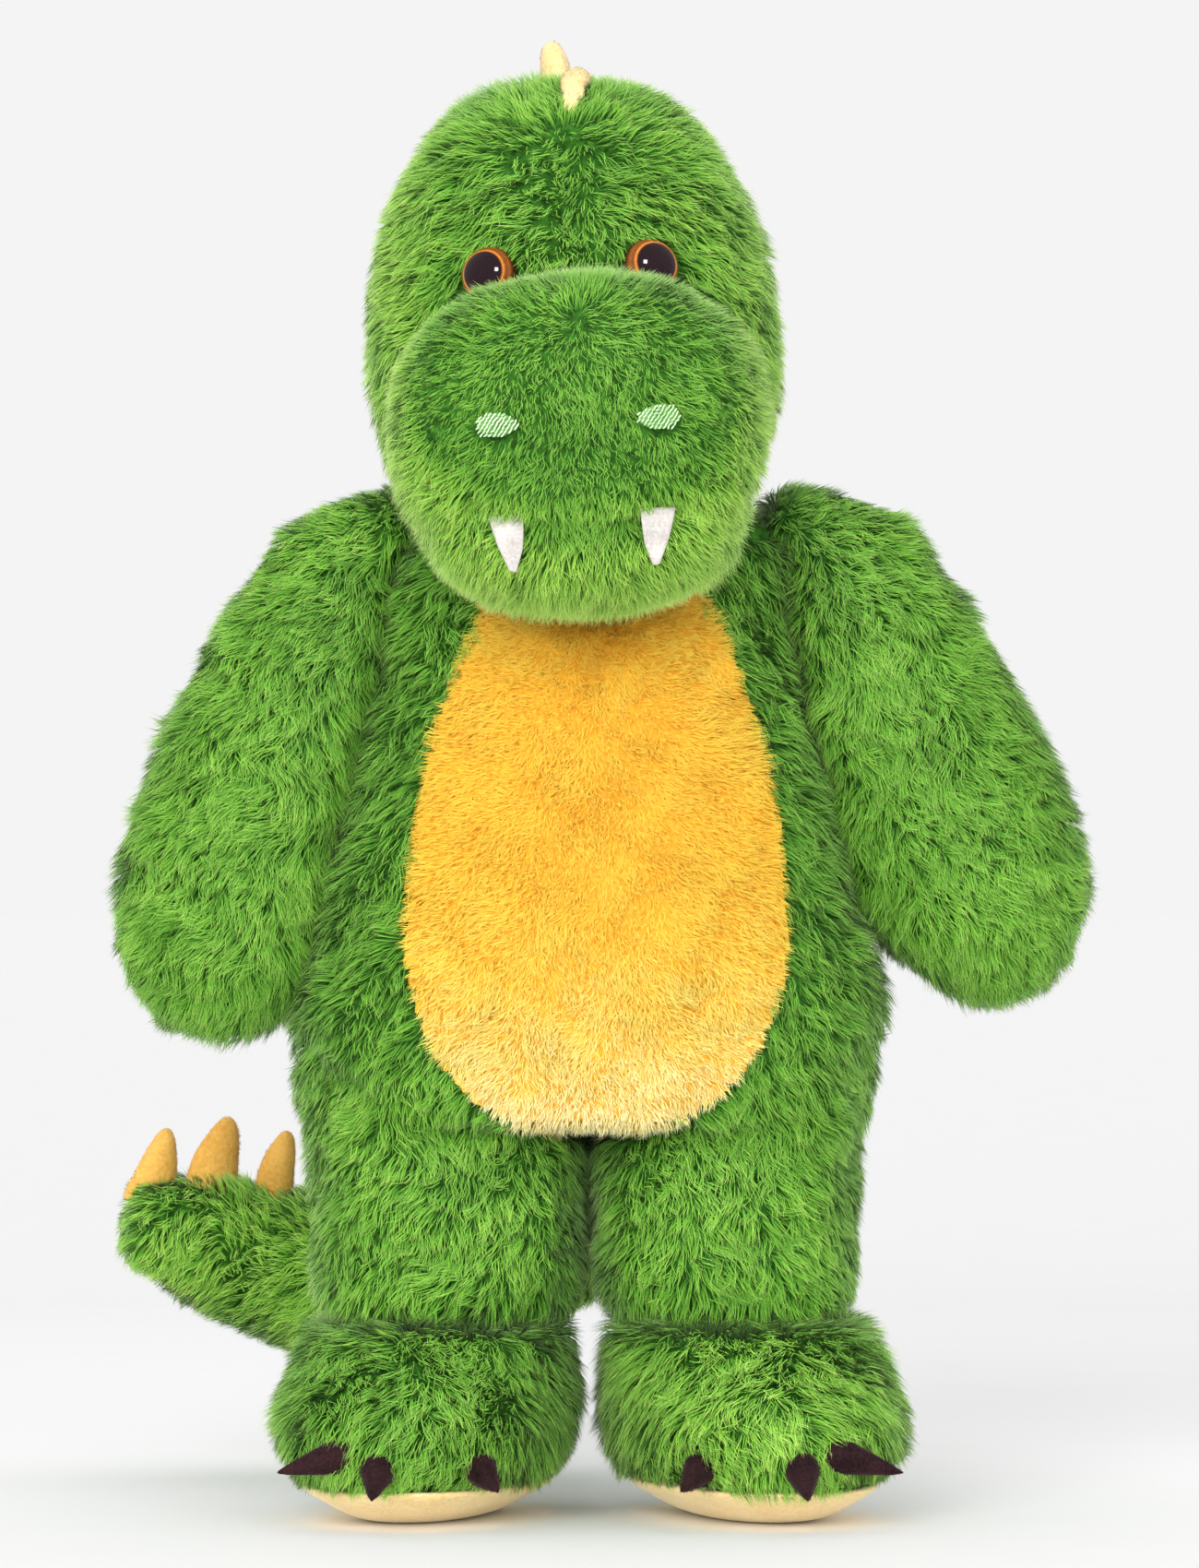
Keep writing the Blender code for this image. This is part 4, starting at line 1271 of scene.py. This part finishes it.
def make_eyes():
    finish = eye_material()
    for (centre, aim), (_, name) in zip(EYES, SIDES):
        shape = bmesh.new()
        rings = []
        steps = 40
        turn = aim.to_track_quat("Z", "Y").to_matrix()
        profile = [(-2.0, 0.93), (-0.6, 0.985), (0.4, 1.0)]
        for degrees in range(4, 90, 5):
            angle = math.radians(degrees)
            profile.append((0.4 + 5.3 * math.sin(angle), math.cos(angle)))
        for way, share in profile:
            row = []
            for step in range(steps):
                angle = 2 * math.pi * step / steps
                local = Vector((math.cos(angle), math.sin(angle), 0)) * share * EYE_RADIUS
                row.append(shape.verts.new(centre + turn @ (local + Vector((0, 0, way * MM)))))
            rings.append(row)
        for low, high in zip(rings, rings[1:]):
            for i in range(steps):
                j = (i + 1) % steps
                shape.faces.new((low[i], low[j], high[j], high[i]))
        shape.faces.new(rings[-1])
        shape.faces.new(rings[0][::-1])
        made = built(shape, f"eye_dome_{name}")
        points = mesh_arrays(made)[0] - np.array(centre)
        beside = points - (points @ np.array(aim))[:, None] * np.array(aim)
        ratio = made.data.attributes.new("off_axis", "FLOAT", "POINT")
        ratio.data.foreach_set("value", (np.linalg.norm(beside, axis=1) / EYE_RADIUS).astype(np.float32))
        made.data.shade_smooth()
        assign(made, finish)
        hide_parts(f"eye_{name}")
        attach(made, "head")


def make_nostrils():
    """Satin-stitch ovals: short fat threads in slanting rows over a dark ground."""
    for (side, name), spot in zip(SIDES, NOSTRILS):
        draw = np.random.default_rng(400 + side)
        shape = bmesh.new()
        half_width, half_height = 5.3 * MM, 3.3 * MM
        pitch = 0.84 * MM
        for row in range(-6, 7):
            for column in range(-7, 8):
                x = column * pitch * 1.25 + (row % 2) * pitch * 0.6 + draw.normal(0, 0.06 * MM)
                z = row * pitch + draw.normal(0, 0.06 * MM)
                pointed = 1.15 - 0.35 * (x * side / half_width)
                if (x / half_width) ** 2 + (z / half_height * pointed) ** 2 > 1:
                    continue
                bulge = 1.0 * MM * (1 - (x / half_width) ** 2 * 0.5 - (z / half_height) ** 2 * 0.5)
                at = Vector((spot[0] + x, spot[1] - 0.4 * MM - bulge, spot[2] + z))
                size = (0.66 * MM, 0.28 * MM, 0.24 * MM)
                turn = Matrix.Rotation(-0.85 + draw.normal(0, 0.18), 4, "Y")
                shaped = Matrix.Translation(at) @ turn @ Matrix.Diagonal((*size, 1))
                bmesh.ops.create_icosphere(shape, subdivisions=2, radius=1, matrix=shaped)
        made = built(shape, f"nostril_stitches_{name}")
        made.data.shade_smooth()
        assign(made, MINT_THREAD)
        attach(made, "head")
        node = f"nostril_{name}"
        trim_piece(f"nostril_ground_{name}", node, 0.3 * MM, 4, STITCH_GROUND, "head")


def carry_over():
    """Materials for the CAD nodes that stay as they are, inside the toy."""
    for name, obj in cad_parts.items():
        made = FIBRE_FILL
        if "bean_bag" in name:
            made = BEAD_BAG
        elif "washer" in name:
            made = NYLON
        for slot in obj.material_slots:
            slot.material = made


carry_over()
make_head()
make_body()
make_arms()
make_feet()
make_tail()
make_spikes()
make_claws()
make_teeth()
make_eyes()
make_nostrils()
